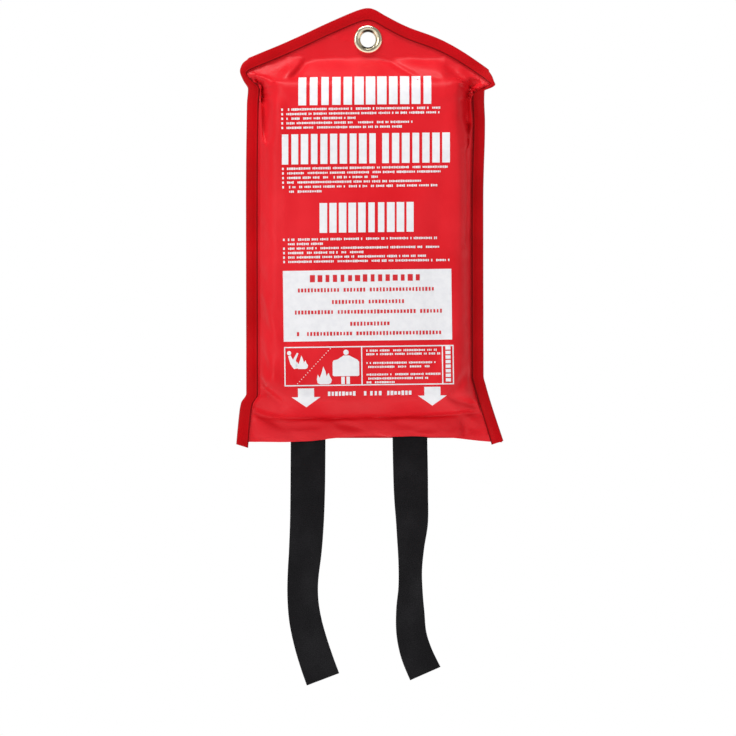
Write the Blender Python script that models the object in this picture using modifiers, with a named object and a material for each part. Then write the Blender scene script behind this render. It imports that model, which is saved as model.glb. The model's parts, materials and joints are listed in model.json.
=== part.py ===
"""A wall-hung fire blanket: a soft pouch on one eyelet, and the folded blanket that two straps pull out of it.

Metres, +Z up. The origin is the centre of the eyelet's hole on the wall plane, y = 0. The front faces -Y,
and left and right are a viewer's, who stands in front of it. The mouth is at the bottom: its front lip, the
lowest part of the front panel, swings out about the line where the front starts to slope back to the wall.
"""

import math

import bmesh
import bpy
from mathutils import Vector

CLEARANCE = 0.0003  # between pieces that touch

# The blanket, folded: 1 m square cloth in seven folds across and four and a half down
BLANKET_WIDTH = 0.142
BLANKET_HEIGHT = 0.218
BLANKET_THICKNESS = 0.0195
BLANKET_TOP_ROOM = 0.00824  # from its upper corners to the foot of the top binding
BLANKET_EDGE_RADIUS = 0.007
BLANKET_BACK_ROOM = 0.0008  # between the blanket and the loop strip that it slides past

# The pouch: coated cloth panels with their edges bound in tape
FABRIC = 0.0005
TAPE = 0.0006
BINDING_WIDTH = 0.008
APEX_Z = 0.0225
ROOF_PITCH = math.radians(25)
EAVE_FLARE = 0.005  # how far the eaves stand out past the sides
MOUTH_FLARE = 0.0095
FLARE_TOP = 0.040  # heights over which the sides run out to the eaves and to the mouth
SIDE_ROOM = 0.0041  # from the blanket's side to the side binding
SIDE_RUN = 0.0145  # over which the front swells out to its full depth beside the bindings
TOP_RUN = 0.030
SWELL_POWER = 2.2
SWELL_START_Z = -0.0150  # under the eyelet, and lower where the top binding reaches further down
EDGE_SET = 0.0020  # how far the bound edges stand in front of the flat back
SLOPE_HEIGHT = 0.020
HEM_HEIGHT = 0.019
BINDING_TAIL = 0.004  # of the side bindings, below the hem

# The eyelet
EYELET_HOLE_RADIUS = 0.0053
EYELET_WALL = 0.0005
EYELET_FLANGE_RADIUS = 0.01025
EYELET_DOME = 0.0015
WASHER_THICKNESS = 0.0007
EYELET_ROLL_REACH = 0.0016

# The hook-and-loop pair that keeps the mouth shut, between the straps
CLOSURE_WIDTH = 0.040
CLOSURE_HEIGHT = 0.0135
CLOSURE_X = -0.0065
LOOP_THICKNESS = 0.00065
HOOK_THICKNESS = 0.00075

# The pull straps: webbing, sewn on the blanket's front over a patch
STRAP_WIDTH = 0.025
STRAP_THICKNESS = 0.0015
STRAP_EDGE_RADIUS = 0.0006
STRAP_OUT = 0.00205  # from the mouth down to the pivot that a strap swings about
SEWN_LENGTH = 0.028
PATCH_WIDTH = 0.042
PATCH_HEIGHT = 0.026
PATCH_THICKNESS = 0.0005
STRAP_X = {"left": -0.0428, "right": 0.0300}
# Each hanging strap's route below its pivot, in metres: offset in x, in y and in z, and the turn in degrees
# that brings its right edge forward
STRAP_ROUTES = {
    "left": [
        (0.0000, 0.0000, 0.0000, 0),
        (-0.0001, -0.0004, -0.0165, 2),
        (-0.0003, -0.0016, -0.0365, 8),
        (-0.0008, -0.0032, -0.0565, 14),
        (-0.0019, -0.0048, -0.0765, 20),
        (-0.0036, -0.0062, -0.0965, 28),
        (-0.0036, -0.0068, -0.1115, 28),
        (-0.0018, -0.0070, -0.1265, 22),
        (0.0018, -0.0076, -0.1415, 16),
        (0.0064, -0.0090, -0.1560, 12),
        (0.0108, -0.0108, -0.1680, 10),
    ],
    "right": [
        (0.0000, 0.0000, 0.0000, 0),
        (0.0003, -0.0010, -0.0165, 4),
        (0.0007, -0.0034, -0.0365, 14),
        (0.0014, -0.0064, -0.0565, 26),
        (0.0006, -0.0090, -0.0735, 42),
        (0.0001, -0.0100, -0.0895, 50),
        (0.0002, -0.0100, -0.1045, 48),
        (0.0001, -0.0092, -0.1195, 38),
        (0.0009, -0.0086, -0.1355, 32),
        (0.0046, -0.0088, -0.1500, 24),
        (0.0108, -0.0096, -0.1640, 18),
    ],
}
ROUTE_STEPS = 3  # stations between two of a route's points

# Worked out from the sizes above
BINDING_REACH = BINDING_WIDTH + CLEARANCE + TAPE
ROOF_REACH = (BINDING_REACH + CLEARANCE) / math.cos(ROOF_PITCH)  # straight down, past the top binding
BODY_HALF_WIDTH = BLANKET_WIDTH / 2 + SIDE_ROOM + BINDING_REACH
EAVE_HALF_WIDTH = BODY_HALF_WIDTH + EAVE_FLARE
EAVE_Z = APEX_Z - EAVE_HALF_WIDTH * math.tan(ROOF_PITCH)
BLANKET_TOP_Z = APEX_Z - BLANKET_WIDTH / 2 * math.tan(ROOF_PITCH) - ROOF_REACH - BLANKET_TOP_ROOM
HINGE_Z = BLANKET_TOP_Z - BLANKET_HEIGHT
CREASE_Z = HINGE_Z - SLOPE_HEIGHT
MOUTH_Z = CREASE_Z - HEM_HEIGHT
BLANKET_BACK = FABRIC + CLEARANCE + LOOP_THICKNESS + BLANKET_BACK_ROOM
BLANKET_FRONT = BLANKET_BACK + BLANKET_THICKNESS
PATCH_FRONT = BLANKET_FRONT + CLEARANCE + PATCH_THICKNESS
SEWN_DEPTH = PATCH_FRONT + CLEARANCE + STRAP_THICKNESS / 2
FULL_DEPTH = SEWN_DEPTH + STRAP_THICKNESS / 2 + CLEARANCE + FABRIC
EDGE_DEPTH = EDGE_SET + FABRIC + CLEARANCE + FABRIC  # of the front panel's outer face at its bound edges
MOUTH_DEPTH = EDGE_DEPTH / 2  # of the straps' middle, halfway between the back panel and the lip
PIVOT_Z = MOUTH_Z - STRAP_OUT
RISES = (0.02, 0.08, 0.20, 0.38, 0.62, 1.0)  # shares of a swell's run that its grid lines stand at


def clear_scene():
    for obj in list(bpy.data.objects):
        bpy.data.objects.remove(obj, do_unlink=True)


def collection(name):
    made = bpy.data.collections.new(name)
    bpy.context.scene.collection.children.link(made)
    return made


def material(name, colour, roughness, metallic=0.0):
    made = bpy.data.materials.new(name)
    made.use_nodes = True
    shader = made.node_tree.nodes["Principled BSDF"]
    shader.inputs["Base Color"].default_value = (*colour, 1.0)
    shader.inputs["Roughness"].default_value = roughness
    shader.inputs["Metallic"].default_value = metallic
    made.diffuse_color = (*colour, 1.0)
    return made


def place_object(name, mesh, finish, folder):
    obj = bpy.data.objects.new(name, mesh)
    folder.objects.link(obj)
    if finish:
        mesh.materials.append(finish)
    return obj


def sheet(name, columns, rows, point, finish):
    """An open surface: a grid whose corner (column, row) lies at point(column, row)."""
    grid = bmesh.new()
    across, up = len(columns) - 1, len(rows) - 1
    bmesh.ops.create_grid(grid, x_segments=across, y_segments=up, size=1)
    for vert in grid.verts:
        column = columns[round((vert.co.x + 1) / 2 * across)]
        row = rows[round((vert.co.y + 1) / 2 * up)]
        vert.co = point(column, row)
    mesh = bpy.data.meshes.new(name)
    grid.to_mesh(mesh)
    grid.free()
    return place_object(name, mesh, finish, parts)


def thicken(obj, thickness, offset=-1.0):
    wall = obj.modifiers.new("Wall", "SOLIDIFY")
    wall.thickness = thickness
    wall.offset = offset
    wall.use_even_offset = True


def bevel(obj, width, segments):
    edge = obj.modifiers.new("Rounded edges", "BEVEL")
    edge.width = width
    edge.segments = segments
    edge.limit_method = "ANGLE"
    edge.angle_limit = math.radians(50)


def block(name, low, high, finish):
    """A box between two corners, given as (x, depth, z): depth is counted forward from the wall."""
    low, high = Vector((low[0], -low[1], low[2])), Vector((high[0], -high[1], high[2]))
    bpy.ops.mesh.primitive_cube_add(size=1, location=(low + high) / 2)
    obj = bpy.context.object
    obj.name = obj.data.name = name
    span = high - low
    obj.data.transform(((abs(span.x), 0, 0, 0), (0, abs(span.y), 0, 0), (0, 0, abs(span.z), 0), (0, 0, 0, 1)))
    for folder in list(obj.users_collection):
        folder.objects.unlink(obj)
    parts.objects.link(obj)
    obj.data.materials.append(finish)
    return obj


def cut(obj, cutter):
    hole = obj.modifiers.new("Eyelet hole", "BOOLEAN")
    hole.operation = "DIFFERENCE"
    hole.object = cutter


def spread(first, last, count):
    """count numbers evenly from first to last."""
    return [first + (last - first) * i / (count - 1) for i in range(count)]


def ease(t):
    t = min(max(t, 0.0), 1.0)
    return t * t * (3 - 2 * t)


def roof_z(x):
    return APEX_Z - abs(x) * math.tan(ROOF_PITCH)


def half_width(z):
    """Of the pouch at a height: its sides run out to the eaves at the top and to the mouth at the bottom."""
    to_eave = ease((z - EAVE_Z + FLARE_TOP) / FLARE_TOP)
    to_mouth = ease((HINGE_Z - z) / (HINGE_Z - MOUTH_Z))
    return BODY_HALF_WIDTH + EAVE_FLARE * to_eave + MOUTH_FLARE * to_mouth


def side_heights(top):
    """Heights up a side from the mouth, close together only where the side is curved."""
    return [*spread(MOUTH_Z, HINGE_Z, 6), *spread(EAVE_Z - FLARE_TOP, top, 5)]


def swell(distance, run):
    """From 0 at an edge to 1 a run away from it, round like a pillow's side."""
    t = min(max(distance / run, 0.0), 1.0)
    return (1 - (1 - t) ** SWELL_POWER) ** (1 / SWELL_POWER)


def panel_columns(insets, inner):
    """(share of the half width, inset) of each column, edges first: x is share x (half width - inset)."""
    left = [(-1.0, inset) for inset in insets]
    middle = [(share, insets[-1]) for share in spread(-1, 1, inner + 2)[1:-1]]
    right = [(1.0, inset) for inset in reversed(insets)]
    return left + middle + right


def add_back_panel(finish, hole):
    """Flat on the wall, with its bound edges and its roof set forward by the tape's and the washer's room."""
    step = BINDING_REACH + CLEARANCE
    insets = [0.0, step, step + EDGE_SET / 2]
    roof_foot = EAVE_Z - step
    heights = [*side_heights(roof_foot - EDGE_SET), roof_foot]
    rows = [*range(len(heights)), len(heights)]

    def point(column, row):
        share, inset = column
        at_roof = row == len(heights)
        x = share * (half_width(EAVE_Z if at_roof else heights[row]) - inset)
        z = roof_z(x) if at_roof else heights[row]
        edge = inset < insets[-1] or row >= len(heights) - 1
        return x, -EDGE_SET if edge else 0.0, z

    panel = sheet("back_panel", panel_columns(insets, 5), rows, point, finish)
    thicken(panel, FABRIC, 1.0)
    cut(panel, hole)


def swell_start_z(x):
    return min(SWELL_START_Z, roof_z(x) - ROOF_REACH)


def front_z(x, row):
    """Row 0 is the hinge line, 1 the end of the top's swell, 2 its start and 3 the roof."""
    levels = (HINGE_Z, swell_start_z(x) - TOP_RUN, swell_start_z(x), roof_z(x))
    below = min(int(row), 2)
    return levels[below] + (levels[below + 1] - levels[below]) * (row - below)


def add_front_panel(finish, hole):
    """The cover over the blanket: bound at its edges, flat round the eyelet, swelling to its full depth."""
    insets = [0.0, BINDING_REACH, *(BINDING_REACH + SIDE_RUN * share for share in RISES)]
    rows = [*spread(0, 1, 5), *(2 - share for share in reversed(RISES[:-1])), 2, 2.4, 3]

    def point(column, row):
        share, inset = column
        width = half_width(front_z(EAVE_HALF_WIDTH, row))
        x = share * (width - inset)
        z = front_z(x, row)
        full = swell(width - BINDING_REACH - abs(x), SIDE_RUN) * swell(swell_start_z(x) - z, TOP_RUN)
        return x, -(EDGE_DEPTH + (FULL_DEPTH - EDGE_DEPTH) * full), z

    panel = sheet("front_panel", panel_columns(insets, 9), rows, point, finish)
    thicken(panel, FABRIC)
    cut(panel, hole)


def add_mouth_lip(finish):
    """The front panel's lowest part: it slopes back from the full depth, then lies flat as the hem."""
    insets = [0.0, BINDING_REACH, *(BINDING_REACH + SIDE_RUN * share for share in RISES)]
    top = HINGE_Z - CLEARANCE - FABRIC
    rows = [MOUTH_Z, *spread(CREASE_Z, top, 5)]

    def point(column, z):
        share, inset = column
        x = share * (half_width(z) - inset)
        up_slope = max(z - CREASE_Z, 0.0) / SLOPE_HEIGHT
        full = swell(half_width(z) - BINDING_REACH - abs(x), SIDE_RUN) * up_slope
        return x, -(EDGE_DEPTH + (FULL_DEPTH - EDGE_DEPTH) * full), z

    thicken(sheet("front_mouth_lip", panel_columns(insets, 5), rows, point, finish), FABRIC)


def tape_section():
    """The folded tape's outer face, back leg first, as (inset from its fold, depth)."""
    back = EDGE_SET - CLEARANCE - TAPE
    front = EDGE_DEPTH + CLEARANCE + TAPE
    middle, corner = (back + front) / 2, TAPE * 1.5
    fold = [(corner, back), (corner / 4, back + corner / 2), (0.0, middle)]
    fold += [(corner / 4, front - corner / 2), (corner, front)]
    return [(BINDING_REACH, back), *fold, (BINDING_REACH, front)]


def add_side_binding(name, side, finish):
    fold = CLEARANCE + TAPE  # how far the fold lies outside the panels' edge
    top = EAVE_Z - fold - ROOF_REACH
    rows = [MOUTH_Z - BINDING_TAIL, *side_heights(top)]

    def point(section, z):
        inset, depth = section
        return side * (half_width(z) + fold - inset), -depth, z

    thicken(sheet(name, tape_section(), rows, point, finish), TAPE, side)


def add_top_binding(finish):
    """One tape along both roof slopes, mitred at the apex."""
    fold = CLEARANCE + TAPE
    end = EAVE_HALF_WIDTH + fold
    stations = [*spread(-end, 0, 5), *spread(0, end, 5)[1:]]

    def point(section, x):
        inset, depth = section
        return x, -depth, roof_z(x) + (fold - inset) / math.cos(ROOF_PITCH)

    thicken(sheet("top_binding", tape_section(), stations, point, finish), TAPE)


def turned(name, profile, finish):
    """A ring about the eyelet's axis, from a closed profile of (radius, depth)."""
    ring = bmesh.new()
    verts = [ring.verts.new((radius, -depth, 0)) for radius, depth in profile]
    for i, vert in enumerate(verts):
        ring.edges.new((vert, verts[(i + 1) % len(verts)]))
    mesh = bpy.data.meshes.new(name)
    ring.to_mesh(mesh)
    ring.free()
    obj = place_object(name, mesh, finish, parts)
    turn = obj.modifiers.new("Turn", "SCREW")
    turn.axis = "Y"
    turn.steps = turn.render_steps = 32
    turn.use_merge_vertices = True
    turn.merge_threshold = 0.00001
    return obj


def add_eyelet(finish):
    """The barrel's domed flange holds the front, and its rolled end holds the washer behind."""
    hole, neck = EYELET_HOLE_RADIUS, EYELET_HOLE_RADIUS + EYELET_WALL
    flange_back = EDGE_DEPTH + CLEARANCE
    crown = flange_back + EYELET_DOME
    middle = (neck + EYELET_FLANGE_RADIUS) / 2
    washer_front = EDGE_SET - CLEARANCE
    washer_back = washer_front - WASHER_THICKNESS
    roll_front = washer_back - CLEARANCE
    roll_back = roll_front / 2
    roll_radius = neck + EYELET_ROLL_REACH
    barrel = [
        (EYELET_FLANGE_RADIUS, flange_back),
        (EYELET_FLANGE_RADIUS, flange_back + EYELET_DOME * 0.3),
        ((middle + EYELET_FLANGE_RADIUS) / 2, flange_back + EYELET_DOME * 0.85),
        (middle, crown),
        ((middle + hole) / 2, flange_back + EYELET_DOME * 0.85),
        (hole, flange_back + EYELET_DOME * 0.2),
        (hole, roll_back + EYELET_WALL / 2),
        (hole + EYELET_WALL, roll_back),
        (roll_radius, roll_back),
        (roll_radius, roll_front),
        (neck, roll_front),
        (neck, flange_back),
    ]
    turned("eyelet_barrel", barrel, finish)
    bore = neck + CLEARANCE
    washer = [
        (EYELET_FLANGE_RADIUS, washer_back),
        (EYELET_FLANGE_RADIUS, washer_front),
        (bore, washer_front),
        (bore, washer_back),
    ]
    turned("eyelet_washer", washer, finish)


def eyelet_cutter():
    radius = EYELET_HOLE_RADIUS + EYELET_WALL + CLEARANCE
    depth = 4 * EDGE_DEPTH
    bpy.ops.mesh.primitive_cylinder_add(vertices=32, radius=radius, depth=depth, rotation=(math.pi / 2, 0, 0))
    cutter = bpy.context.object
    cutter.name = "eyelet_hole_cutter"
    cutter.hide_render = True
    cutter.display_type = "WIRE"
    for folder in list(cutter.users_collection):
        folder.objects.unlink(cutter)
    cutters.objects.link(cutter)
    return cutter


def add_closure(hook_finish, loop_finish):
    """The loop strip is sewn on the back panel and the hook strip inside the lip, face to face."""
    low_z = (CREASE_Z + MOUTH_Z - CLOSURE_HEIGHT) / 2
    left, right = CLOSURE_X - CLOSURE_WIDTH / 2, CLOSURE_X + CLOSURE_WIDTH / 2
    loop_back = FABRIC + CLEARANCE
    hook_front = EDGE_DEPTH - FABRIC - CLEARANCE
    for name, back, front, finish in (
        ("loop_strip", loop_back, loop_back + LOOP_THICKNESS, loop_finish),
        ("hook_strip", hook_front - HOOK_THICKNESS, hook_front, hook_finish),
    ):
        block(name, (left, back, low_z), (right, front, low_z + CLOSURE_HEIGHT), finish)


def add_blanket(finish):
    low = (-BLANKET_WIDTH / 2, BLANKET_BACK, HINGE_Z)
    high = (BLANKET_WIDTH / 2, BLANKET_FRONT, BLANKET_TOP_Z)
    bevel(block("folded_blanket", low, high, finish), BLANKET_EDGE_RADIUS, 3)


def ribbon(name, stations, finish):
    """Webbing along stations of (middle, direction across its width)."""
    halves = [-STRAP_WIDTH / 2, 0.0, STRAP_WIDTH / 2]
    strap = sheet(name, halves, stations, lambda half, station: station[0] + station[1] * half, finish)
    thicken(strap, STRAP_THICKNESS, 0.0)
    bevel(strap, STRAP_EDGE_RADIUS, 2)


def add_sewn_end(side, webbing, cloth):
    """The patch on the blanket's front, and the strap from it round the blanket's foot to the mouth."""
    x = STRAP_X[side]
    patch_low_z = HINGE_Z + BLANKET_EDGE_RADIUS
    low = (x - PATCH_WIDTH / 2, BLANKET_FRONT + CLEARANCE, patch_low_z)
    high = (x + PATCH_WIDTH / 2, PATCH_FRONT, patch_low_z + PATCH_HEIGHT)
    block(f"{side}_strap_patch", low, high, cloth)
    bend_top, bend_foot = HINGE_Z + BLANKET_EDGE_RADIUS, CREASE_Z
    heights = [HINGE_Z + SEWN_LENGTH, *spread(bend_top, bend_foot, 13)]
    heights.append(PIVOT_Z + STRAP_THICKNESS / 2 + CLEARANCE)

    def middle(z):
        share = min(max((bend_top - z) / (bend_top - bend_foot), 0.0), 1.0)
        back = (1 - math.cos(math.pi * share)) / 2
        return Vector((x, -SEWN_DEPTH + (SEWN_DEPTH - MOUTH_DEPTH) * back, z))

    ribbon(f"{side}_strap_sewn_end", [(middle(z), Vector((1, 0, 0))) for z in reversed(heights)], webbing)


def smooth_route(points):
    """Points along the curve through a route's points, which keeps their spacing even."""
    found = []
    for i in range(len(points) - 1):
        before, start, end, after = (points[min(max(i + k, 0), len(points) - 1)] for k in (-1, 0, 1, 2))
        for step in range(ROUTE_STEPS):
            t = step / ROUTE_STEPS
            pull = (end - before) * (t * (1 - t) ** 2) / 2 - (after - start) * (t * t * (1 - t)) / 2
            found.append(start.lerp(end, ease(t)) + pull)
    return [*found, points[-1]]


def add_pull_strap(side, webbing):
    """The free strap, from its pivot at the mouth down to its cut end."""
    pivot = Vector((STRAP_X[side], -MOUTH_DEPTH, PIVOT_Z))
    nose = Vector((0, 0, STRAP_THICKNESS / 2))
    route = [Vector(point[:3]) for point in STRAP_ROUTES[side]]
    turns = [Vector((math.radians(point[3]), 0, 0)) for point in STRAP_ROUTES[side]]
    middles = [pivot + nose, *(pivot + offset for offset in smooth_route(route))]
    angles = [0.0, *(turn.x for turn in smooth_route(turns))]
    stations = []
    for i, middle in enumerate(middles):
        along = (middles[min(i + 1, len(middles) - 1)] - middles[max(i - 1, 0)]).normalized()
        across = Vector((math.cos(angles[i]), -math.sin(angles[i]), 0))
        stations.append((middle, (across - along * across.dot(along)).normalized()))
    ribbon(f"{side}_pull_strap", stations[::-1], webbing)


clear_scene()
parts = collection("fire_blanket")
cutters = collection("cutters")
red_fabric = material("red_coated_fabric", (0.72, 0.018, 0.030), 0.35)
red_tape = material("red_binding_tape", (0.43, 0.002, 0.008), 0.55)
brass = material("brass", (0.76, 0.58, 0.33), 0.28, 1.0)
glass_cloth = material("white_glass_cloth", (0.82, 0.80, 0.74), 0.75)
black_webbing = material("black_webbing", (0.010, 0.0095, 0.011), 0.70)
hook_tape = material("hook_tape", (0.30, 0.006, 0.010), 0.60)
loop_tape = material("loop_tape", (0.33, 0.006, 0.012), 0.95)

eyelet_hole = eyelet_cutter()
add_back_panel(red_fabric, eyelet_hole)
add_front_panel(red_fabric, eyelet_hole)
add_mouth_lip(red_fabric)
add_side_binding("left_side_binding", -1, red_tape)
add_side_binding("right_side_binding", 1, red_tape)
add_top_binding(red_tape)
add_eyelet(brass)
add_closure(hook_tape, loop_tape)
add_blanket(glass_cloth)
for strap_side in STRAP_X:
    add_sewn_end(strap_side, black_webbing, glass_cloth)
    add_pull_strap(strap_side, black_webbing)
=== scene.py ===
import json
import math
import bmesh
import bpy
import numpy as np
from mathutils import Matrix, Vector
from mathutils.bvhtree import BVHTree


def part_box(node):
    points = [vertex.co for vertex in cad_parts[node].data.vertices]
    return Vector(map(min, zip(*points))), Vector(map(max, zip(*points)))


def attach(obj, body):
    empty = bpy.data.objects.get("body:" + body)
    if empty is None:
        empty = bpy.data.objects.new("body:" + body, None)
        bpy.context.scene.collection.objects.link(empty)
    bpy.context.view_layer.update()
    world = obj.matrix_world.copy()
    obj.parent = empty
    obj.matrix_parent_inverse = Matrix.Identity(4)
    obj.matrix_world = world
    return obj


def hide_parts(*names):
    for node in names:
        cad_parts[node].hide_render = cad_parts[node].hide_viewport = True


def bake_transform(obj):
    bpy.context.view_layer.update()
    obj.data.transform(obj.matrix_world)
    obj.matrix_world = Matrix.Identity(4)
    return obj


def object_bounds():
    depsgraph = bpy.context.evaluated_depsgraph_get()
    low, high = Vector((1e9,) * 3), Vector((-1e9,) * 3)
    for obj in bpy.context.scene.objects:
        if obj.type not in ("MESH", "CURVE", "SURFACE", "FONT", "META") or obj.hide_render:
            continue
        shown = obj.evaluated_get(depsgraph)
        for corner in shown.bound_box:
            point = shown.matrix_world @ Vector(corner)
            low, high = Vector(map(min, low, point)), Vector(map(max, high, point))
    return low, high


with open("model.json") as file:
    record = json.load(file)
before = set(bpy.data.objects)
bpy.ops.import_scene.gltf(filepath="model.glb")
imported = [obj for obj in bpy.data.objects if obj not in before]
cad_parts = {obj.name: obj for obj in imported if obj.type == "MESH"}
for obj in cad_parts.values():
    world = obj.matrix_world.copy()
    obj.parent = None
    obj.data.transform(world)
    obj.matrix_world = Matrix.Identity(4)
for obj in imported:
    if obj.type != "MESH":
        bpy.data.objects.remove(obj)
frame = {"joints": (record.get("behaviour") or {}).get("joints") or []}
cad_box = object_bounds()

# ---- The studio ----
# The pouch hangs free in a white studio, over a pale floor that stays clear of the blanket when it is pulled
# right out. A long lens looks square at its front, and the lamps stand above it and to both sides.

CAMERA_AWAY = 2.6
CAMERA_Z = -0.2345
SEEN_WIDTH = 0.5262  # of the view, at the pouch
SENSOR = 36.0
FLOOR_Z = cad_box[0][2] - 0.32  # the blanket slides 0.27 m down
STUDIO_LIGHT = 0.28  # how bright the white room is to the pouch
FLOOR_GLOW = 0.58  # and the floor

scene = bpy.context.scene
scene.view_settings.view_transform = "Standard"
eye = bpy.data.objects.new("front_camera", bpy.data.cameras.new("front_camera"))
eye.data.sensor_width = SENSOR
eye.data.lens = SENSOR * CAMERA_AWAY / SEEN_WIDTH
eye.location = (0, -CAMERA_AWAY, CAMERA_Z)
eye.rotation_euler = (math.radians(90), 0, 0)
scene.collection.objects.link(eye)
scene.camera = eye


class Wire:
    """A node's output in some tree. Sums and products of wires and numbers add Math nodes to that tree."""

    def __init__(self, tree, output=None):
        self.tree, self.output = tree, output

    def node(self, kind, settings=None, sockets=None, out=0):
        """Any node: its settings first, then the numbers, colours or wires of its sockets."""
        made = self.tree.nodes.new(kind)
        for name, setting in (settings or {}).items():
            if name == "stops":
                ramp = made.color_ramp.elements
                for place, colour in setting[2:]:
                    ramp.new(place).color = colour
                for stop, (place, colour) in zip((ramp[0], ramp[-1]), (setting[0], setting[1])):
                    stop.position, stop.color = place, colour
            else:
                setattr(made, name, setting)
        for name, value in (sockets or {}).items():
            if isinstance(value, Wire):
                self.tree.links.new(value.output, made.inputs[name])
            else:
                made.inputs[name].default_value = value
        return Wire(self.tree, made.outputs[out] if len(made.outputs) else None)

    def calc(self, operation, first, second=0.0):
        return self.node("ShaderNodeMath", {"operation": operation}, {0: first, 1: second})

    def __add__(self, other):
        return self.calc("ADD", self, other)

    def __sub__(self, other):
        return self.calc("SUBTRACT", self, other)

    def __rsub__(self, other):
        return self.calc("SUBTRACT", other, self)

    def __mul__(self, other):
        return self.calc("MULTIPLY", self, other)

    def __truediv__(self, other):
        return self.calc("DIVIDE", self, other)

    __radd__ = __add__
    __rmul__ = __mul__

    def wave(self, length):
        """Up and down between -1 and 1, once in each length."""
        return self.calc("SINE", self * (2 * math.pi / length))

    def between(self, low, high):
        """Eased from 0 at low to 1 at high."""
        return self.node(
            "ShaderNodeMapRange",
            {"interpolation_type": "SMOOTHSTEP"},
            {"Value": self, "From Min": low, "From Max": high},
        )

    def tint(self, first, second):
        """A colour mixed by this wire, from the first at 0 to the second at 1."""
        return self.node("ShaderNodeMix", {"data_type": "RGBA"}, {0: self, 6: first, 7: second}, out=2)


def aim(obj, target):
    obj.rotation_euler = (Vector(target) - obj.location).to_track_quat("-Z", "Y").to_euler()


def add_lamp(name, place, target, size, power):
    lamp = bpy.data.objects.new(name, bpy.data.lights.new(name, "AREA"))
    lamp.data.shape = "RECTANGLE"
    lamp.data.size, lamp.data.size_y = size
    lamp.data.energy = power
    lamp.location = place
    scene.collection.objects.link(lamp)
    aim(lamp, target)


add_lamp("overhead_softbox", (-0.25, -0.40, 1.05), (0, -0.02, -0.05), (1.2, 0.5), 14.0)
add_lamp("left_softbox", (-1.5, -1.7, 0.55), (0, -0.02, -0.20), (0.9, 1.2), 12.0)
add_lamp("right_softbox", (1.7, -1.5, 0.30), (0, -0.02, -0.22), (0.6, 1.2), 1.0)

room = bpy.data.worlds.new("white_room")
scene.world = room
room.use_nodes = True
room.node_tree.nodes.clear()
air = Wire(room.node_tree)
seen = air.node("ShaderNodeLightPath", out="Is Camera Ray")
white = air.node("ShaderNodeBackground", sockets={"Color": (1, 1, 1, 1), "Strength": 1.0})
lit = air.node("ShaderNodeBackground", sockets={"Color": (1, 1, 1, 1), "Strength": STUDIO_LIGHT})
both = air.node("ShaderNodeMixShader", sockets={0: seen, 1: lit, 2: white})
air.node("ShaderNodeOutputWorld", sockets={"Surface": both})


def new_finish(name, colour, roughness, metallic=0.0, **constants):
    """A material: (it, a wire in its tree to start from, its shader)."""
    made = bpy.data.materials.new(name)
    made.use_nodes = True
    shader = made.node_tree.nodes["Principled BSDF"]
    shader.inputs["Base Color"].default_value = (*colour, 1)
    shader.inputs["Roughness"].default_value = roughness
    shader.inputs["Metallic"].default_value = metallic
    for socket, value in constants.items():
        shader.inputs[socket.replace("_", " ")].default_value = value
    return made, Wire(made.node_tree), shader


def feed(shader, **wires):
    """Links wires to the shader's sockets."""
    for socket, wire in wires.items():
        wire.tree.links.new(wire.output, shader.inputs[socket.replace("_", " ")])


def on_object(start):
    """Wires of the Object coordinates: all of them, x and z."""
    place = start.node("ShaderNodeTexCoord", out="Object")
    return place, *(place.node("ShaderNodeSeparateXYZ", sockets={0: place}, out=axis) for axis in "XZ")


def on_weave(start):
    """Wires of the UV "weave": across the cloth and along it."""
    uv = start.node("ShaderNodeUVMap", {"uv_map": "weave"})
    return [uv.node("ShaderNodeSeparateXYZ", sockets={0: uv}, out=axis) for axis in "XY"]


def relief(height, strength, distance):
    """A bump from a wire of heights."""
    return height.node("ShaderNodeBump", sockets={"Strength": strength, "Distance": distance, "Height": height})


def add_object(name, mesh, finish):
    obj = bpy.data.objects.new(name, mesh)
    scene.collection.objects.link(obj)
    if finish:
        mesh.materials.append(finish)
    return obj


floor_paint, _, floor_shader = new_finish("pale_floor", (0.90, 0.90, 0.90), 0.6)
floor_shader.inputs["Emission Color"].default_value = (1, 1, 1, 1)
floor_shader.inputs["Emission Strength"].default_value = FLOOR_GLOW
paper = Wire(floor_paint.node_tree, floor_shader.outputs[0])
seen = paper.node("ShaderNodeLightPath", out="Is Camera Ray")
glow = paper.node("ShaderNodeEmission", sockets={"Color": (1, 1, 1, 1), "Strength": 1.0})
both = paper.node("ShaderNodeMixShader", sockets={0: seen, 1: paper, 2: glow})
floor_end = floor_paint.node_tree.nodes["Material Output"].inputs["Surface"]
floor_paint.node_tree.links.new(both.output, floor_end)
bpy.ops.mesh.primitive_plane_add(size=60, location=(0, 0, FLOOR_Z))
floor = bpy.context.object
floor.name = "studio_floor"
floor.data.materials.append(floor_paint)

# ---- The pull straps ----
# Two lengths of black 25 mm polypropylene webbing hang out of the mouth. Each is cut off square at its free
# end, and carries on up inside the pouch, where it is sewn on the blanket.

STRAP_WIDTH, STRAP_THICKNESS = 0.025, 0.0015
STRAP_START = 0.00405  # above its pivot: where the hanging strap follows on from the sewn end
RIB_PITCH, RIB_HEIGHT = 0.00125, 0.00006
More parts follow.
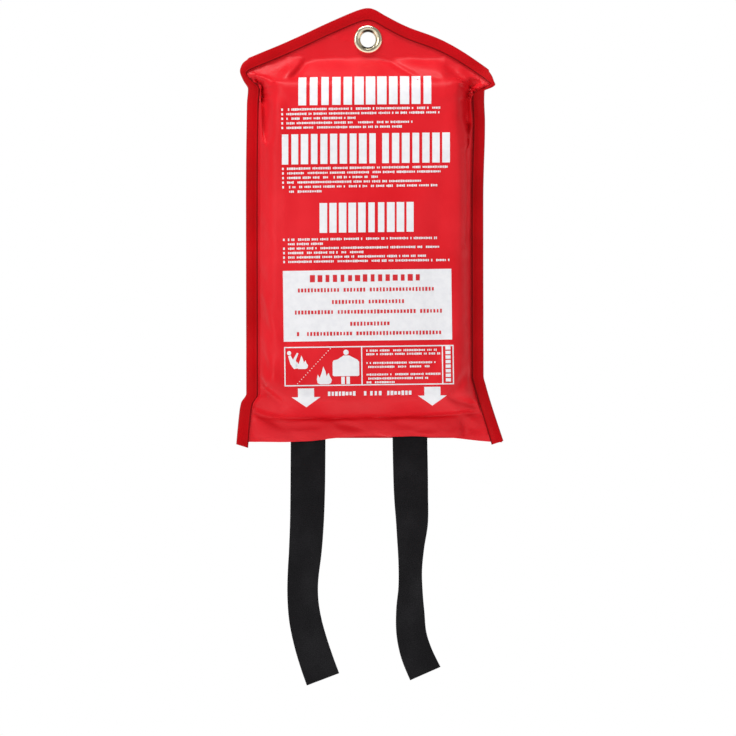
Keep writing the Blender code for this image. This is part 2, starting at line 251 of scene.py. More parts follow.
# Below the pivot: offset in x, y and z, and the turn in degrees that brings the right edge forward.
STRAP_ROUTES = {
    "left": [
        (0.0000, 0.0000, 0.0000, 0),
        (-0.0001, -0.0004, -0.0165, 2),
        (-0.0003, -0.0016, -0.0365, 8),
        (-0.0008, -0.0032, -0.0565, 14),
        (-0.0019, -0.0048, -0.0765, 20),
        (-0.0036, -0.0062, -0.0965, 28),
        (-0.0036, -0.0068, -0.1115, 28),
        (-0.0018, -0.0070, -0.1265, 22),
        (0.0018, -0.0076, -0.1415, 16),
        (0.0064, -0.0090, -0.1560, 12),
        (0.0108, -0.0108, -0.1680, 10),
    ],
    "right": [
        (0.0000, 0.0000, 0.0000, 0),
        (0.0003, -0.0010, -0.0165, 4),
        (0.0007, -0.0034, -0.0365, 14),
        (0.0014, -0.0064, -0.0565, 26),
        (0.0006, -0.0090, -0.0735, 42),
        (0.0001, -0.0100, -0.0895, 50),
        (0.0002, -0.0100, -0.1045, 48),
        (0.0001, -0.0092, -0.1195, 38),
        (0.0009, -0.0086, -0.1355, 32),
        (0.0046, -0.0088, -0.1500, 24),
        (0.0108, -0.0096, -0.1640, 18),
    ],
}


def ease(t):
    t = np.clip(t, 0.0, 1.0)
    return t * t * (3 - 2 * t)


def through(points, step):
    """Rows of numbers along the smooth curve through a route's rows, a step apart by their first three."""
    points = np.array(points, float)
    last, found = len(points) - 1, []
    for i in range(last):
        before, start, end, after = (points[min(max(i + k, 0), last)] for k in (-1, 0, 1, 2))
        for t in np.linspace(0, 1, 16, endpoint=False):
            pull = (end - before) * (t * (1 - t) ** 2) / 2 - (after - start) * (t * t * (1 - t)) / 2
            found.append(start + (end - start) * ease(t) + pull)
    found = np.array([*found, points[-1]])
    gone = np.concatenate([[0], np.cumsum(np.linalg.norm(np.diff(found[:, :3], axis=0), axis=1))])
    places = np.linspace(0, gone[-1], round(gone[-1] / step) + 1)
    return np.stack([np.interp(places, gone, column) for column in found.T], axis=1), places


def band_section(width, thickness):
    """Round a strap's section: (across, out) of its face, round edge, other face and other edge."""
    half, radius = width / 2 - thickness / 2, thickness / 2
    face = [(x, radius) for x in np.linspace(-half, half, 11)]
    edge = [(half + radius * math.cos(a), radius * math.sin(a)) for a in np.radians([60, 25, -25, -60])]
    return np.array([*face, *edge, *((-x, -y) for x, y in face), *((-x, -y) for x, y in edge)])


def band(name, middles, acrosses, places, width, thickness, finish):
    """A flat strap through its middles, with its length and its girth as UV, and its length as "along"."""
    section = band_section(width, thickness)
    alongs = np.gradient(middles, axis=0)
    alongs /= np.linalg.norm(alongs, axis=1)[:, None]
    acrosses = acrosses - alongs * (acrosses * alongs).sum(axis=1)[:, None]
    acrosses /= np.linalg.norm(acrosses, axis=1)[:, None]
    outs = np.cross(acrosses, alongs)
    rings = middles[:, None] + acrosses[:, None] * section[:, :1] + outs[:, None] * section[:, 1:]
    count = len(section)
    faces = [list(range(count)), [(len(rings) - 1) * count + k for k in reversed(range(count))]]
    for i in range(len(rings) - 1):
        for k in range(count):
            a, b = i * count + k, i * count + (k + 1) % count
            faces.append([a, a + count, b + count, b])
    mesh = bpy.data.meshes.new(name)
    mesh.from_pydata(rings.reshape(-1, 3).tolist(), [], faces)
    girth = np.concatenate([[0], np.cumsum(np.linalg.norm(np.diff(section, axis=0), axis=1))])
    lay_uv(mesh, np.tile(girth, len(rings)), np.repeat(places, count))
    along = mesh.attributes.new("along", "FLOAT", "POINT")
    along.data.foreach_set("value", np.repeat(places, count).astype(np.float32))
    return smooth_faces(add_object(name, outward(mesh), finish))


def lay_uv(mesh, across, along):
    """The UV layer "weave": each point's place across and along the cloth, in metres."""
    corner = np.zeros(len(mesh.loops), np.int32)
    mesh.loops.foreach_get("vertex_index", corner)
    uv = np.stack([np.ravel(across), np.ravel(along)], axis=1)[corner]
    mesh.uv_layers.new(name="weave").data.foreach_set("uv", uv.astype(np.float32).ravel())


def outward(mesh):
    """A closed mesh with its faces turned to point out."""
    shell = bmesh.new()
    shell.from_mesh(mesh)
    bmesh.ops.recalc_face_normals(shell, faces=shell.faces)
    shell.to_mesh(mesh)
    shell.free()
    return mesh


def smooth_faces(obj, sharp_above=50):
    obj.data.shade_smooth()
    obj.data.set_sharp_from_angle(angle=math.radians(sharp_above))
    return obj


def new_tree(name, sizes):
    """A Geometry Nodes tree with named inputs, given as {name: socket type}."""
    tree = bpy.data.node_groups.new(name, "GeometryNodeTree")
    tree.interface.new_socket("Geometry", in_out="INPUT", socket_type="NodeSocketGeometry")
    for label, kind in sizes.items():
        tree.interface.new_socket(label, in_out="INPUT", socket_type=kind)
    tree.interface.new_socket("Geometry", in_out="OUTPUT", socket_type="NodeSocketGeometry")
    start = Wire(tree)
    return tree, {label: start.node("NodeGroupInput", out=label) for label in ("Geometry", *sizes)}


def close_tree(geometry, finish):
    """The tree's last nodes: every copy made real, and the finish put on it."""
    real = geometry.node("GeometryNodeRealizeInstances", sockets={"Geometry": geometry})
    dressed = real.node("GeometryNodeSetMaterial", sockets={"Geometry": real, "Material": finish})
    dressed.node("NodeGroupOutput", sockets={"Geometry": dressed})


def grow(obj, tree, sizes):
    """Runs a tree on an object, and keeps what it makes as the object's plain mesh."""
    modifier = obj.modifiers.new(tree.name, "NODES")
    modifier.node_group = tree
    for item in tree.interface.items_tree:
        if item.in_out == "INPUT" and item.name in sizes:
            modifier[item.identifier] = sizes[item.name]
    return settle(obj)


def settle(obj):
    """The object with its modifiers turned into a plain mesh."""
    bpy.context.view_layer.update()
    graph = bpy.context.evaluated_depsgraph_get()
    seen_now = obj.evaluated_get(graph)
    mesh = bpy.data.meshes.new_from_object(seen_now, preserve_all_data_layers=True, depsgraph=graph)
    obj.modifiers.clear()
    obj.data = mesh
    return obj


def webbing_finish():
    """Black polypropylene: yarns along it in a fine herringbone, and a soft sheen on the ribs."""
    made, start, shader = new_finish("black_webbing", (0.0085, 0.0080, 0.0092), 0.75, Specular_IOR_Level=0.12)
    across, along = on_weave(start)
    zigzag = across.node("ShaderNodeMath", {"operation": "PINGPONG"}, {0: across, 1: 0.0042})
    twill = (along + zigzag).wave(0.0011)
    yarns = across.wave(0.00062)
    height = twill * 0.6 + yarns * 0.4
    bump = relief(height, 0.55, 0.00007)
    dust = start.node("ShaderNodeTexCoord", out="Object")
    cloud = dust.node("ShaderNodeTexNoise", sockets={"Vector": dust, "Scale": 38.0, "Detail": 4.0})
    worn = (cloud + height * 0.16).between(0.35, 0.85)
    feed(
        shader,
        Base_Color=worn.tint((0.0062, 0.0058, 0.0068, 1), (0.0130, 0.0124, 0.0140, 1)),
        Roughness=0.82 - worn * 0.14,
        Normal=bump,
    )
    return made


webbing = webbing_finish()
ribs_tree, ribs = new_tree("webbing_ribs", {"Rib pitch": "NodeSocketFloat", "Rib height": "NodeSocketFloat"})
length_way = ribs["Geometry"].node(
    "GeometryNodeInputNamedAttribute", {"data_type": "FLOAT"}, {"Name": "along"}, out="Attribute"
)
rib_turn = length_way / ribs["Rib pitch"] * (2 * math.pi)
rise = rib_turn.calc("SINE", rib_turn) * ribs["Rib height"]
normal = rise.node("GeometryNodeInputNormal")
shift = normal.node("ShaderNodeVectorMath", {"operation": "SCALE"}, {0: normal, "Scale": rise})
ribbed = shift.node("GeometryNodeSetPosition", sockets={"Geometry": ribs["Geometry"], "Offset": shift})
close_tree(ribbed, webbing)

pivots = {
    joint["child"].removesuffix("_strap"): np.array(joint["pos_m"])
    for joint in frame["joints"]
    if joint["child"].endswith("_strap")
}
for side, pivot in pivots.items():
    route = [(0, 0, STRAP_START, 0), *STRAP_ROUTES[side]]
    rows, places = through(route, RIB_PITCH / 4)
    middles, turns = pivot + rows[:, :3], np.radians(rows[:, 3])
    acrosses = np.stack([np.cos(turns), -np.sin(turns), 0 * turns], axis=1)
    name = f"{side}_hanging_strap"
    strap = band(name, middles, acrosses, places, STRAP_WIDTH, STRAP_THICKNESS, webbing)
    grow(strap, ribs_tree, {"Rib pitch": RIB_PITCH, "Rib height": RIB_HEIGHT})
    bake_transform(strap)
    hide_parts(f"{side}_pull_strap")
    middles[:: 4].tolist() + [middles[-1].tolist()]


# ---- The blanket ----
# One metre square of white woven glass cloth, hemmed, and folded like a fan: in seven across, and then in
# four and a half down. The two straps are sewn to its edge over patches, so that a pull brings it out open.

blanket_low, blanket_high = (np.array(corner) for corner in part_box("folded_blanket"))
BLANKET_ROUND = 0.010  # how round the bundle's edges are
STITCH_PITCH, STITCH_LENGTH, THREAD = 0.0032, 0.0024, 0.00042
BLANKET_SIDE = 1.0
PANELS = 7
LAYER = 0.00055  # from one layer to the next
GLASS_WALL = 0.00032
PACK = PANELS * LAYER  # the thickness of the seven folded layers
RUN_X = BLANKET_SIDE / PANELS - math.pi * LAYER / 2
RUN_Z = (blanket_high[2] - blanket_low[2]) - 2 * PACK
TURN_Z = math.pi * PACK / 2


def glass_finish():
    """White glass cloth: a plain weave of fat flat yarns, a little yellow where it is creased."""
    made, start, shader = new_finish("white_glass_cloth", (0.82, 0.80, 0.74), 0.75, Specular_IOR_Level=0.3)
    u, v = on_weave(start)
    weave = u.wave(0.0018) * v.wave(0.0018)
    place = start.node("ShaderNodeTexCoord", out="Object")
    aged = place.node("ShaderNodeTexNoise", sockets={"Vector": place, "Scale": 30.0, "Detail": 5.0})
    height = weave + aged * 0.8
    yellowed = (aged + weave * 0.08).between(0.25, 0.8)
    feed(
        shader,
        Base_Color=yellowed.tint((0.82, 0.81, 0.77, 1), (0.76, 0.74, 0.68, 1)),
        Roughness=0.82 - weave.between(-1.0, 1.0) * 0.16,
        Normal=relief(height, 0.6, 0.00016),
    )
    return made


glass = glass_finish()


def grid_mesh(name, points, finish, skip=None, flip=False):
    """A sheet through a grid of points, (rows, columns, 3), without the faces that skip(middle) names."""
    across = points.shape[1]
    faces = []
    for r in range(points.shape[0] - 1):
        for c in range(across - 1):
            corners = points[r, c], points[r + 1, c], points[r + 1, c + 1], points[r, c + 1]
            if skip is None or not skip(sum(corners) / 4):
                a = r * across + c
                face = [a, a + across, a + across + 1, a + 1]
                faces.append(face[::-1] if flip else face)
    mesh = bpy.data.meshes.new(name)
    mesh.from_pydata(points.reshape(-1, 3).tolist(), [], faces)
    mesh.validate()
    body = bmesh.new()
    body.from_mesh(mesh)
    bmesh.ops.delete(body, geom=[v for v in body.verts if not v.link_faces], context="VERTS")
    body.to_mesh(mesh)
    body.free()
    return add_object(name, mesh, finish)


def walled(obj, thickness, offset=-1.0):
    """Gives a sheet its wall, and shades it smooth with crisp edges."""
    wall = obj.modifiers.new("wall", "SOLIDIFY")
    wall.thickness = thickness
    wall.offset = offset
    wall.use_even_offset = False
    return smooth_faces(settle(obj))


def round_end(gone, radius):
    """The height of a rounded edge, from -radius at its start to 0 a radius further in."""
    return -radius + radius * np.sqrt(np.clip(1 - (1 - np.clip(gone / radius, 0, 1)) ** 2, 0, 1))


def thread_finish(name, colour):
    """Spun thread: the ply shows as fine slanting turns, with painted shade darkening the low turns."""
    made, start, shader = new_finish(name, colour, 0.6, Specular_IOR_Level=0.3)
    place, x, z = on_object(start)
    ply = (x + z).wave(0.00035)
    feed(
        shader,
        # painted shade: the colour falls to 0.7 of the thread's own in the low turns of the ply, where the bump
        # is lowest
        Base_Color=ply.between(-1.0, 1.0).tint((*(0.7 * c for c in colour), 1), (*colour, 1)),
        Normal=relief(ply, 0.5, 0.00005),
    )
    return made


def stitch_tree(name, thread):
    """Stitches along the edges of a mesh: short rounded lengths of thread, a pitch apart."""
    tree, given = new_tree(
        name, {"Pitch": "NodeSocketFloat", "Length": "NodeSocketFloat", "Thread": "NodeSocketFloat"}
    )
    seam = given["Geometry"].node("GeometryNodeMeshToCurve", sockets={"Mesh": given["Geometry"]})
    stepped = {"Curve": seam, "Length": given["Pitch"]}
    points = seam.node("GeometryNodeCurveToPoints", {"mode": "LENGTH"}, stepped, out="Points")
    stepper = next(node for node in tree.nodes if node.bl_idname == "GeometryNodeCurveToPoints")
    turned_along = Wire(tree, stepper.outputs["Rotation"])
    bead = seam.node("GeometryNodeMeshUVSphere", sockets={"Segments": 6, "Rings": 5, "Radius": 0.5})
    size = seam.node(
        "ShaderNodeCombineXYZ", sockets={0: given["Thread"], 1: given["Thread"], 2: given["Length"]}
    )
    sewn = seam.node(
        "GeometryNodeInstanceOnPoints",
        sockets={"Points": points, "Instance": bead, "Rotation": turned_along, "Scale": size},
    )
    close_tree(sewn, thread)
    return tree


def sew(name, tree, lines, body, pitch=STITCH_PITCH, length=STITCH_LENGTH, thread=THREAD):
    """One row of stitches along each line of points, as one piece on a body."""
    mesh = bpy.data.meshes.new(name)
    points = [tuple(point) for line in lines for point in line]
    starts = np.cumsum([0, *(len(line) for line in lines)])
    edges = [(a, a + 1) for start, end in zip(starts, starts[1:]) for a in range(start, end - 1)]
    mesh.from_pydata(points, edges, [])
    row = grow(add_object(name, mesh, None), tree, {"Pitch": pitch, "Length": length, "Thread": thread})
    row.data.shade_smooth()
    if body:
        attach(row, body)
    return row


def fan_across(s):
    """Across the cloth: (x, how many layers deep) of a point so far from its edge."""
    length = RUN_X + math.pi * LAYER / 2
    i = np.minimum(np.floor(s / length), PANELS - 1)
    along = s - i * length
    way = np.where(i % 2 == 0, 1.0, -1.0)
    a = np.clip((along - RUN_X) / (LAYER / 2), 0, math.pi)
    x = way * (np.minimum(along, RUN_X) - RUN_X / 2 + LAYER / 2 * np.sin(a))
    return x, (i + (1 - np.cos(a)) / 2) * LAYER


def fan_down(t, off):
    """Down the cloth: (height, depth) from the front pack's foot, for a layer so far from its middle."""
    length = RUN_Z + TURN_Z
    j = np.floor(t / length)
    along = t - j * length
    up = j % 2 == 0
    a = np.clip((along - RUN_Z) / (PACK / 2), 0, math.pi)
    radius = PACK / 2 + np.where(up, off, -off)
    straight = np.minimum(along, RUN_Z)
    height = np.where(up, straight + radius * np.sin(a), RUN_Z - straight - radius * np.sin(a))
    return height, -(j * PACK + PACK / 2) + radius * np.cos(a)


def fan_steps(run, turn, total, inner, round_steps):
    """Places along folded cloth: a few on each flat run, and close together round each fold."""
    flat = np.linspace(0, run, inner, endpoint=False)
    one = [*flat, *np.linspace(run, run + turn, round_steps, endpoint=False)]
    places = [i * (run + turn) + place for i in range(math.ceil(total / (run + turn))) for place in one]
    return np.array([place for place in places if place < total - 0.0005] + [total])


across_steps = fan_steps(RUN_X, math.pi * LAYER / 2, BLANKET_SIDE, 7, 4)
down_steps = fan_steps(RUN_Z, TURN_Z, BLANKET_SIDE, 18, 7)
sheet_s, sheet_t = np.meshgrid(across_steps, down_steps)
sheet_x, layers = fan_across(sheet_s)
sheet_up, sheet_depth = fan_down(sheet_t, layers - (PANELS - 1) / 2 * LAYER)
blanket_front = -blanket_low[1]
sheet_z = blanket_low[2] + PACK + sheet_up
puff = 0.0004 * np.sin(sheet_x * 55 + 1) * np.sin(sheet_z * 38)
puff = puff + 0.0002 * np.sin(sheet_x * 140 + sheet_z * 90)
shuffle = 0.0007 * np.sin(np.floor(sheet_t / (RUN_Z + TURN_Z)) * 2.1 + 0.5)
sheet_y = -(blanket_front - 0.0004 + sheet_depth) + puff * 0.6
to_face = np.minimum(sheet_y - blanket_low[1], blanket_high[1] - sheet_y)
rounded = round_end(to_face + 0.0006, BLANKET_ROUND)
half_x, half_z = blanket_high[0], (blanket_high[2] - blanket_low[2]) / 2
middle_z = (blanket_high[2] + blanket_low[2]) / 2
sheet_x = sheet_x * (half_x + rounded) / half_x * 0.975 + shuffle - 0.0008
sheet_x = sheet_x * (1 - 0.045 * ease((sheet_z - blanket_high[2] + 0.050) / 0.035))
sheet_z = middle_z + (sheet_z - middle_z) * (half_z + rounded) / half_z
blanket = grid_mesh("glass_cloth_blanket", np.stack([sheet_x, sheet_y, sheet_z], axis=-1), glass)
lay_uv(blanket.data, sheet_s, sheet_t)
walled(blanket, GLASS_WALL, 0.0)
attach(blanket, "blanket")
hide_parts("folded_blanket")

white_stitches = stitch_tree("white_lockstitch", thread_finish("white_thread", (0.80, 0.78, 0.72)))
HEM_ABOVE_FOOT = 0.0100
hem_x = np.linspace(-RUN_X / 2 + 0.014, RUN_X / 2 - 0.014, 40)
hem_y = -(blanket_front - 0.0004 + 0.0003) + 0 * hem_x
hem_line = np.stack([hem_x, hem_y, 0 * hem_x + blanket_low[2] + HEM_ABOVE_FOOT], axis=1)
hem = sew("blanket_hem_stitches", white_stitches, [hem_line], "blanket")

# ---- The sewn ends of the straps ----
# Each strap runs up inside the pouch, round the blanket's foot, and is sewn on its front over a patch of the
# same glass cloth, with a box of stitches that is crossed from corner to corner.

black_stitches = stitch_tree("black_lockstitch", thread_finish("black_thread", (0.030, 0.029, 0.032)))
BOX_INSET = 0.0028
MOUTH_SLOPE = 0.020  # the height over which the straps and the lip come back to the wall


def patch_mesh(name, low, high):
    """A square of glass cloth with its corners a little round, on the blanket's front."""
    xs, zs = np.linspace(low[0], high[0], 22), np.linspace(high[2], low[2], 14)
    x, z = np.meshgrid(xs, zs)
    middle = (low + high) / 2
    reach_x, reach_z = np.abs(x - middle[0]) / (high[0] - low[0]), np.abs(z - middle[2]) / (high[2] - low[2])
    reach = np.maximum(reach_x, reach_z) * 2
    y = low[1] + 0.0001 + 0.00025 * ease((reach - 0.86) / 0.14)
    patch = grid_mesh(name, np.stack([x, y, z], axis=-1), glass)
    lay_uv(patch.data, x, z)
    return walled(patch, 0.0004)


def line_of(corners, count=30):
    """Points along a broken line through corners."""
    return np.concatenate([np.linspace(a, b, count) for a, b in zip(corners, corners[1:])])


filling = [blanket]
for side, pivot in pivots.items():
    patch_low, patch_high = (np.array(corner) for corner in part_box(f"{side}_strap_patch"))
    sewn_low, sewn_high = (np.array(corner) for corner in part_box(f"{side}_strap_sewn_end"))
    patch = patch_mesh(f"{side}_patch", patch_low, patch_high)
    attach(patch, "blanket")
    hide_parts(f"{side}_strap_patch")
    sewn_y = sewn_low[1] + STRAP_THICKNESS / 2
    bend_top, bend_foot = patch_low[2], blanket_low[2] - MOUTH_SLOPE
    heights = np.linspace(sewn_high[2], pivot[2] + STRAP_START, 190)
    share = np.clip((bend_top - heights) / (bend_top - bend_foot), 0, 1)
    y = sewn_y + (pivot[1] - sewn_y) * (1 - np.cos(math.pi * share)) / 2
    middles = np.stack([0 * heights + pivot[0], y, heights], axis=1)
    places = np.concatenate([[0], np.cumsum(np.linalg.norm(np.diff(middles, axis=0), axis=1))])
    even = np.linspace(0, places[-1], round(places[-1] / (RIB_PITCH / 4)))
    middles = np.stack([np.interp(even, places, column) for column in middles.T], axis=1)
    acrosses = np.tile([1.0, 0.0, 0.0], (len(even), 1))
    name = f"{side}_sewn_strap"
    end = band(name, middles, acrosses, even - even[-1], STRAP_WIDTH, STRAP_THICKNESS, webbing)
    grow(end, ribs_tree, {"Rib pitch": RIB_PITCH, "Rib height": RIB_HEIGHT})
    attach(end, "blanket")
    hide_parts(f"{side}_strap_sewn_end")
    left, right = sewn_low[0] + BOX_INSET, sewn_high[0] - BOX_INSET
    top, foot = sewn_high[2] - BOX_INSET, bend_top + 0.0015
    face = sewn_low[1] - 0.00006
    box = [(left, face, top), (right, face, top), (right, face, foot), (left, face, foot), (left, face, top)]
    cross = [[(left, face, top), (right, face, foot)], [(right, face, top), (left, face, foot)]]
    rim = [
        (x, patch_low[1] + 0.0001, z)
        for x, z in (
            (patch_low[0] + 0.003, patch_low[2] + 0.003),
            (patch_low[0] + 0.003, patch_high[2] - 0.003),
            (patch_high[0] - 0.003, patch_high[2] - 0.003),
            (patch_high[0] - 0.003, patch_low[2] + 0.003),
        )
    ]
    seams = [line_of(box), *(line_of(corners) for corners in cross)]
    sewn = sew(f"{side}_strap_stitches", black_stitches, seams, "blanket", 0.0026, 0.0020)
    edge = sew(f"{side}_patch_stitches", white_stitches, [line_of(rim)], "blanket", 0.0026, 0.0020)
    filling += [patch, end, sewn]


# ---- The pouch's shape ----
# A gabled pouch of red coated cloth, cut as two panels and bound in tape along its sides and its roof. The
# folded blanket fills it like a pillow, and it is flat round the eyelet and at the hem of its open mouth.

back_low, back_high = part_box("back_panel")
front_low, front_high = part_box("front_panel")
APEX_Z = back_high[2] - 0.0003
HINGE_Z = front_low[2]
MOUTH_Z = back_low[2]
CREASE_Z = HINGE_Z - MOUTH_SLOPE  # where the front comes back to the wall and its hem starts
FULL_DEPTH = -front_low[1] + 0.0010
CROWN = 0.0024  # how much further the middle stands out
EDGE_DEPTH = -front_high[1] + 0.0005  # of the front panel's outer face, where it is bound
EDGE_SET = 0.0020  # how far the bound edges stand in front of the flat back
FABRIC = 0.0005
TAPE_WIDTH, TAPE = 0.0080, 0.0005
PANEL_INSET = 0.0008  # from the fold of the tape in to the panels' edges
TAPE_REACH = TAPE_WIDTH + PANEL_INSET
ROOF_SLOPE = math.tan(math.radians(24))
APEX_ROUND = 0.0055
SIDE_RUN, SIDE_POWER = 0.0135, 2.5
TOP_START, TOP_RUN, TOP_POWER = -0.0115, 0.034, 1.7


def curve_through(points):
    """A smooth function through (place, value) points that never overshoots between two of them."""
    at, value = np.array(sorted(points)).T
    slope = np.diff(value) / np.diff(at)
    tangent = np.zeros_like(value)
    same = slope[:-1] * slope[1:] > 0
    tangent[1:-1][same] = 2 / (1 / slope[:-1][same] + 1 / slope[1:][same])
    tangent[0], tangent[-1] = slope[0], slope[-1]

    def follow(place):
        place = np.clip(place, at[0], at[-1])
        i = np.clip(np.searchsorted(at, place) - 1, 0, len(at) - 2)
        gap = at[i + 1] - at[i]
        t = (place - at[i]) / gap
        ends = value[i] + (value[i + 1] - value[i]) * t * t * (3 - 2 * t)
        return ends + gap * (tangent[i] * t * (1 - t) ** 2 - tangent[i + 1] * t * t * (1 - t))

    return follow


left_edge = curve_through(  # (height, x) of the fold of the tape
    [
        (-0.0138, -0.0850),
        (-0.0175, -0.0893),
        (-0.0225, -0.0910),
        (-0.0290, -0.0888),
        (-0.0354, -0.0853),
        (-0.0460, -0.0861),
        (-0.1140, -0.0868),
        (-0.2530, -0.0866),
        (-0.2595, -0.0903),
        (-0.2660, -0.0915),
        (-0.2905, -0.0938),
    ]
)
right_edge = curve_through(
    [
        (-0.0226, 0.0858),
        (-0.0265, 0.0882),
        (-0.0302, 0.0895),
        (-0.0325, 0.0904),
        (-0.0345, 0.0875),
        (-0.0364, 0.0828),
        (-0.0430, 0.0826),
        (-0.0590, 0.0832),
        (-0.1140, 0.0820),
        (-0.2400, 0.0822),
        (-0.2470, 0.0838),
        (-0.2905, 0.0975),
    ]
)
LEFT_EAVE, RIGHT_EAVE = -0.0850, 0.0858


def roof_z(x):
    """The roof: rounded at the apex, and sagging a little on both sides, more to the right."""
    straight = APEX_Z - (np.hypot(x, APEX_ROUND) - APEX_ROUND) * ROOF_SLOPE
    sag = 0.0031 * np.exp(-(((x - 0.027) / 0.021) ** 2)) * ease(x / 0.012)
    sag = sag + 0.0007 * np.exp(-(((x + 0.056) / 0.022) ** 2))
    return straight - sag - 0.0080 * (np.maximum(x - 0.035, 0) / 0.0508) ** 2


def hem_z(x):
    """The mouth's front edge, which rises a little over the straps."""
    return MOUTH_Z - 0.0014 + 0.0043 * np.exp(-(((x - 0.020) / 0.055) ** 4)) - 0.0002 * x / 0.09


def swell(share, power):
    """From 0 at an edge to 1 a run away from it, round like a pillow's side."""
    t = np.clip(share, 0.0, 1.0)
    return (1 - (1 - t) ** power) ** (1 / power)


def fold(x, z, start, end, width, height):
    """A crease's height at a point: a ridge, or a valley if it is below 0, that fades out at both ends."""
    start, end = np.array(start), np.array(end)
    run = end - start
    t = ((x - start[0]) * run[0] + (z - start[1]) * run[1]) / (run @ run)
    off = np.hypot(x - start[0] - t * run[0], z - start[1] - t * run[1])
    off = off + np.maximum(np.abs(t - 0.5) - 0.5, 0) * np.linalg.norm(run)
    return height * np.exp(-((off / width) ** 2)) * ease(1.25 - 1.5 * np.abs(t - 0.5))


FOLDS = [  # start and end as (x, z), width, height: how far the cloth stands out there
    ((-0.036, -0.007), (-0.054, -0.028), 0.0026, -0.0032),
    ((-0.043, -0.004), (-0.063, -0.030), 0.0036, 0.0024),
    ((-0.020, -0.012), (-0.034, -0.030), 0.0060, 0.0012),
    ((0.008, -0.010), (0.037, -0.028), 0.0020, -0.0022),
    ((0.018, -0.009), (0.052, -0.024), 0.0044, 0.0016),
    ((0.056, -0.014), (0.074, -0.034), 0.0034, -0.0026),
    ((0.046, -0.012), (0.060, -0.032), 0.0050, 0.0016),
    ((-0.0880, -0.0228), (-0.0700, -0.0285), 0.0026, 0.0022),
    ((-0.0850, -0.0272), (-0.0750, -0.0310), 0.0028, -0.0060),
    ((-0.0765, -0.0290), (-0.0750, -0.0440), 0.0032, -0.0110),
    ((-0.0752, -0.0340), (-0.0744, -0.0720), 0.0030, -0.0100),
    ((-0.0640, -0.034), (-0.0630, -0.080), 0.0060, 0.0010),
    ((0.0600, -0.0195), (0.0860, -0.0272), 0.0026, 0.0022),
    ((0.0820, -0.0310), (0.0730, -0.0290), 0.0028, -0.0060),
    ((0.0740, -0.0285), (0.0716, -0.0420), 0.0032, -0.0120),
    ((0.0716, -0.0360), (0.0710, -0.0760), 0.0030, -0.0110),
    ((0.0708, -0.0620), (0.0706, -0.1480), 0.0024, -0.0070),
    ((0.0620, -0.040), (0.0620, -0.100), 0.0060, 0.0010),
    ((-0.078, -0.248), (-0.060, -0.258), 0.0030, -0.0030),
    ((-0.080, -0.262), (-0.056, -0.268), 0.0030, 0.0014),
    ((0.058, -0.252), (0.080, -0.262), 0.0028, -0.0036),
    ((0.060, -0.262), (0.078, -0.274), 0.0034, 0.0022),
    ((0.070, -0.266), (0.068, -0.282), 0.0026, -0.0020),
    ((0.074, -0.236), (0.062, -0.250), 0.0030, -0.0022),
    ((-0.078, -0.2690), (0.002, -0.2676), 0.0014, -0.0016),
    ((-0.002, -0.2676), (0.060, -0.2652), 0.0014, -0.0015),
    ((-0.022, -0.2715), (-0.004, -0.2770), 0.0030, -0.0018),
    ((0.020, -0.272), (0.046, -0.277), 0.0034, -0.0010),
]


def side_width(side, z):
    """The side tapes are turned under at the eaves, so that less of them shows there."""
    start, run = (-0.0345, 0.0100) if side < 0 else (-0.0400, 0.0070)
    return TAPE_WIDTH - 0.0040 * ease((z - start) / run)


def inside_tape(x, z):
    """How far a point lies in from the side tapes."""
    left = left_edge(z) + side_width(-1, z) + PANEL_INSET
    right = right_edge(z) - side_width(1, z) - PANEL_INSET
    return np.minimum(x - left, right - x)


def edge_wave(x, z):
    """How far the bound edges wander in front of the flat back: ears at the eaves, and slow ripples."""
    ripple = 0.0004 * np.sin(z * 96 + 1) * np.sin(x * 61 + 2) + 0.0002 * np.sin((z + x) * 210)
    left_ear = 0.0030 * np.exp(-(((x + 0.092) / 0.014) ** 2) - ((z + 0.024) / 0.013) ** 2)
    right_ear = 0.0055 * np.exp(-(((x - 0.092) / 0.015) ** 2) - ((z + 0.033) / 0.012) ** 2)
    tails = 0.0026 * ease((CREASE_Z - z) / 0.02) * ease((np.abs(x) - 0.080) / 0.012)
    return ripple + left_ear + right_ear + tails


def front_depth(x, z):
    """How far the front panel's outer face stands in front of the wall."""
    side = inside_tape(x, z)
    top_start = np.minimum(TOP_START, roof_z(x) - TAPE_REACH * 1.12)
    up_slope = np.clip((z - CREASE_Z) / (HINGE_Z + 0.006 - CREASE_Z), 0, 1)
    down = np.maximum(top_start - z, 0) / TOP_RUN
    full = swell(side / SIDE_RUN, SIDE_POWER) * swell(1.15 * down * down / (down + 0.15), TOP_POWER)
    full = full * np.sin(up_slope * math.pi / 2) ** 1.1
    creases = sum(fold(x, z, *one) for one in FOLDS)
    free = ease(side / 0.003) * ease((roof_z(x) - TAPE_REACH * 1.12 - z) / 0.006)
    crown = CROWN * np.cos(np.clip(x / 0.085, -1, 1) * math.pi / 2)
    crown = crown * np.sin(np.clip(-z / 0.262, 0, 1) * math.pi)
    slack = 0.0005 * np.sin(x * 47 + 0.8) * np.sin(z * 31 + 0.4) + 0.0004 * np.sin(x * 23 - z * 58)
    over_straps = sum(np.exp(-(((x - pivot[0]) / 0.020) ** 4)) for pivot in pivots.values())
    pushed = 0.0009 * over_straps * ease((CREASE_Z + 0.004 - z) / 0.008)
    full_depth = EDGE_DEPTH + (FULL_DEPTH - EDGE_DEPTH + crown + slack) * full
    return full_depth + (creases + pushed) * free + edge_wave(x, z) * (1 - full)


def back_depth(x, z):
    """How far the back panel's rear face stands in front of the wall: 0 on its flat middle."""
    side = np.minimum(x - left_edge(z), right_edge(z) - x) - TAPE_REACH
    flat = ease(side / 0.008) * ease((-0.0290 - z) / 0.008)
    return EDGE_SET * (1 - flat) + edge_wave(x, z) * (1 - flat)


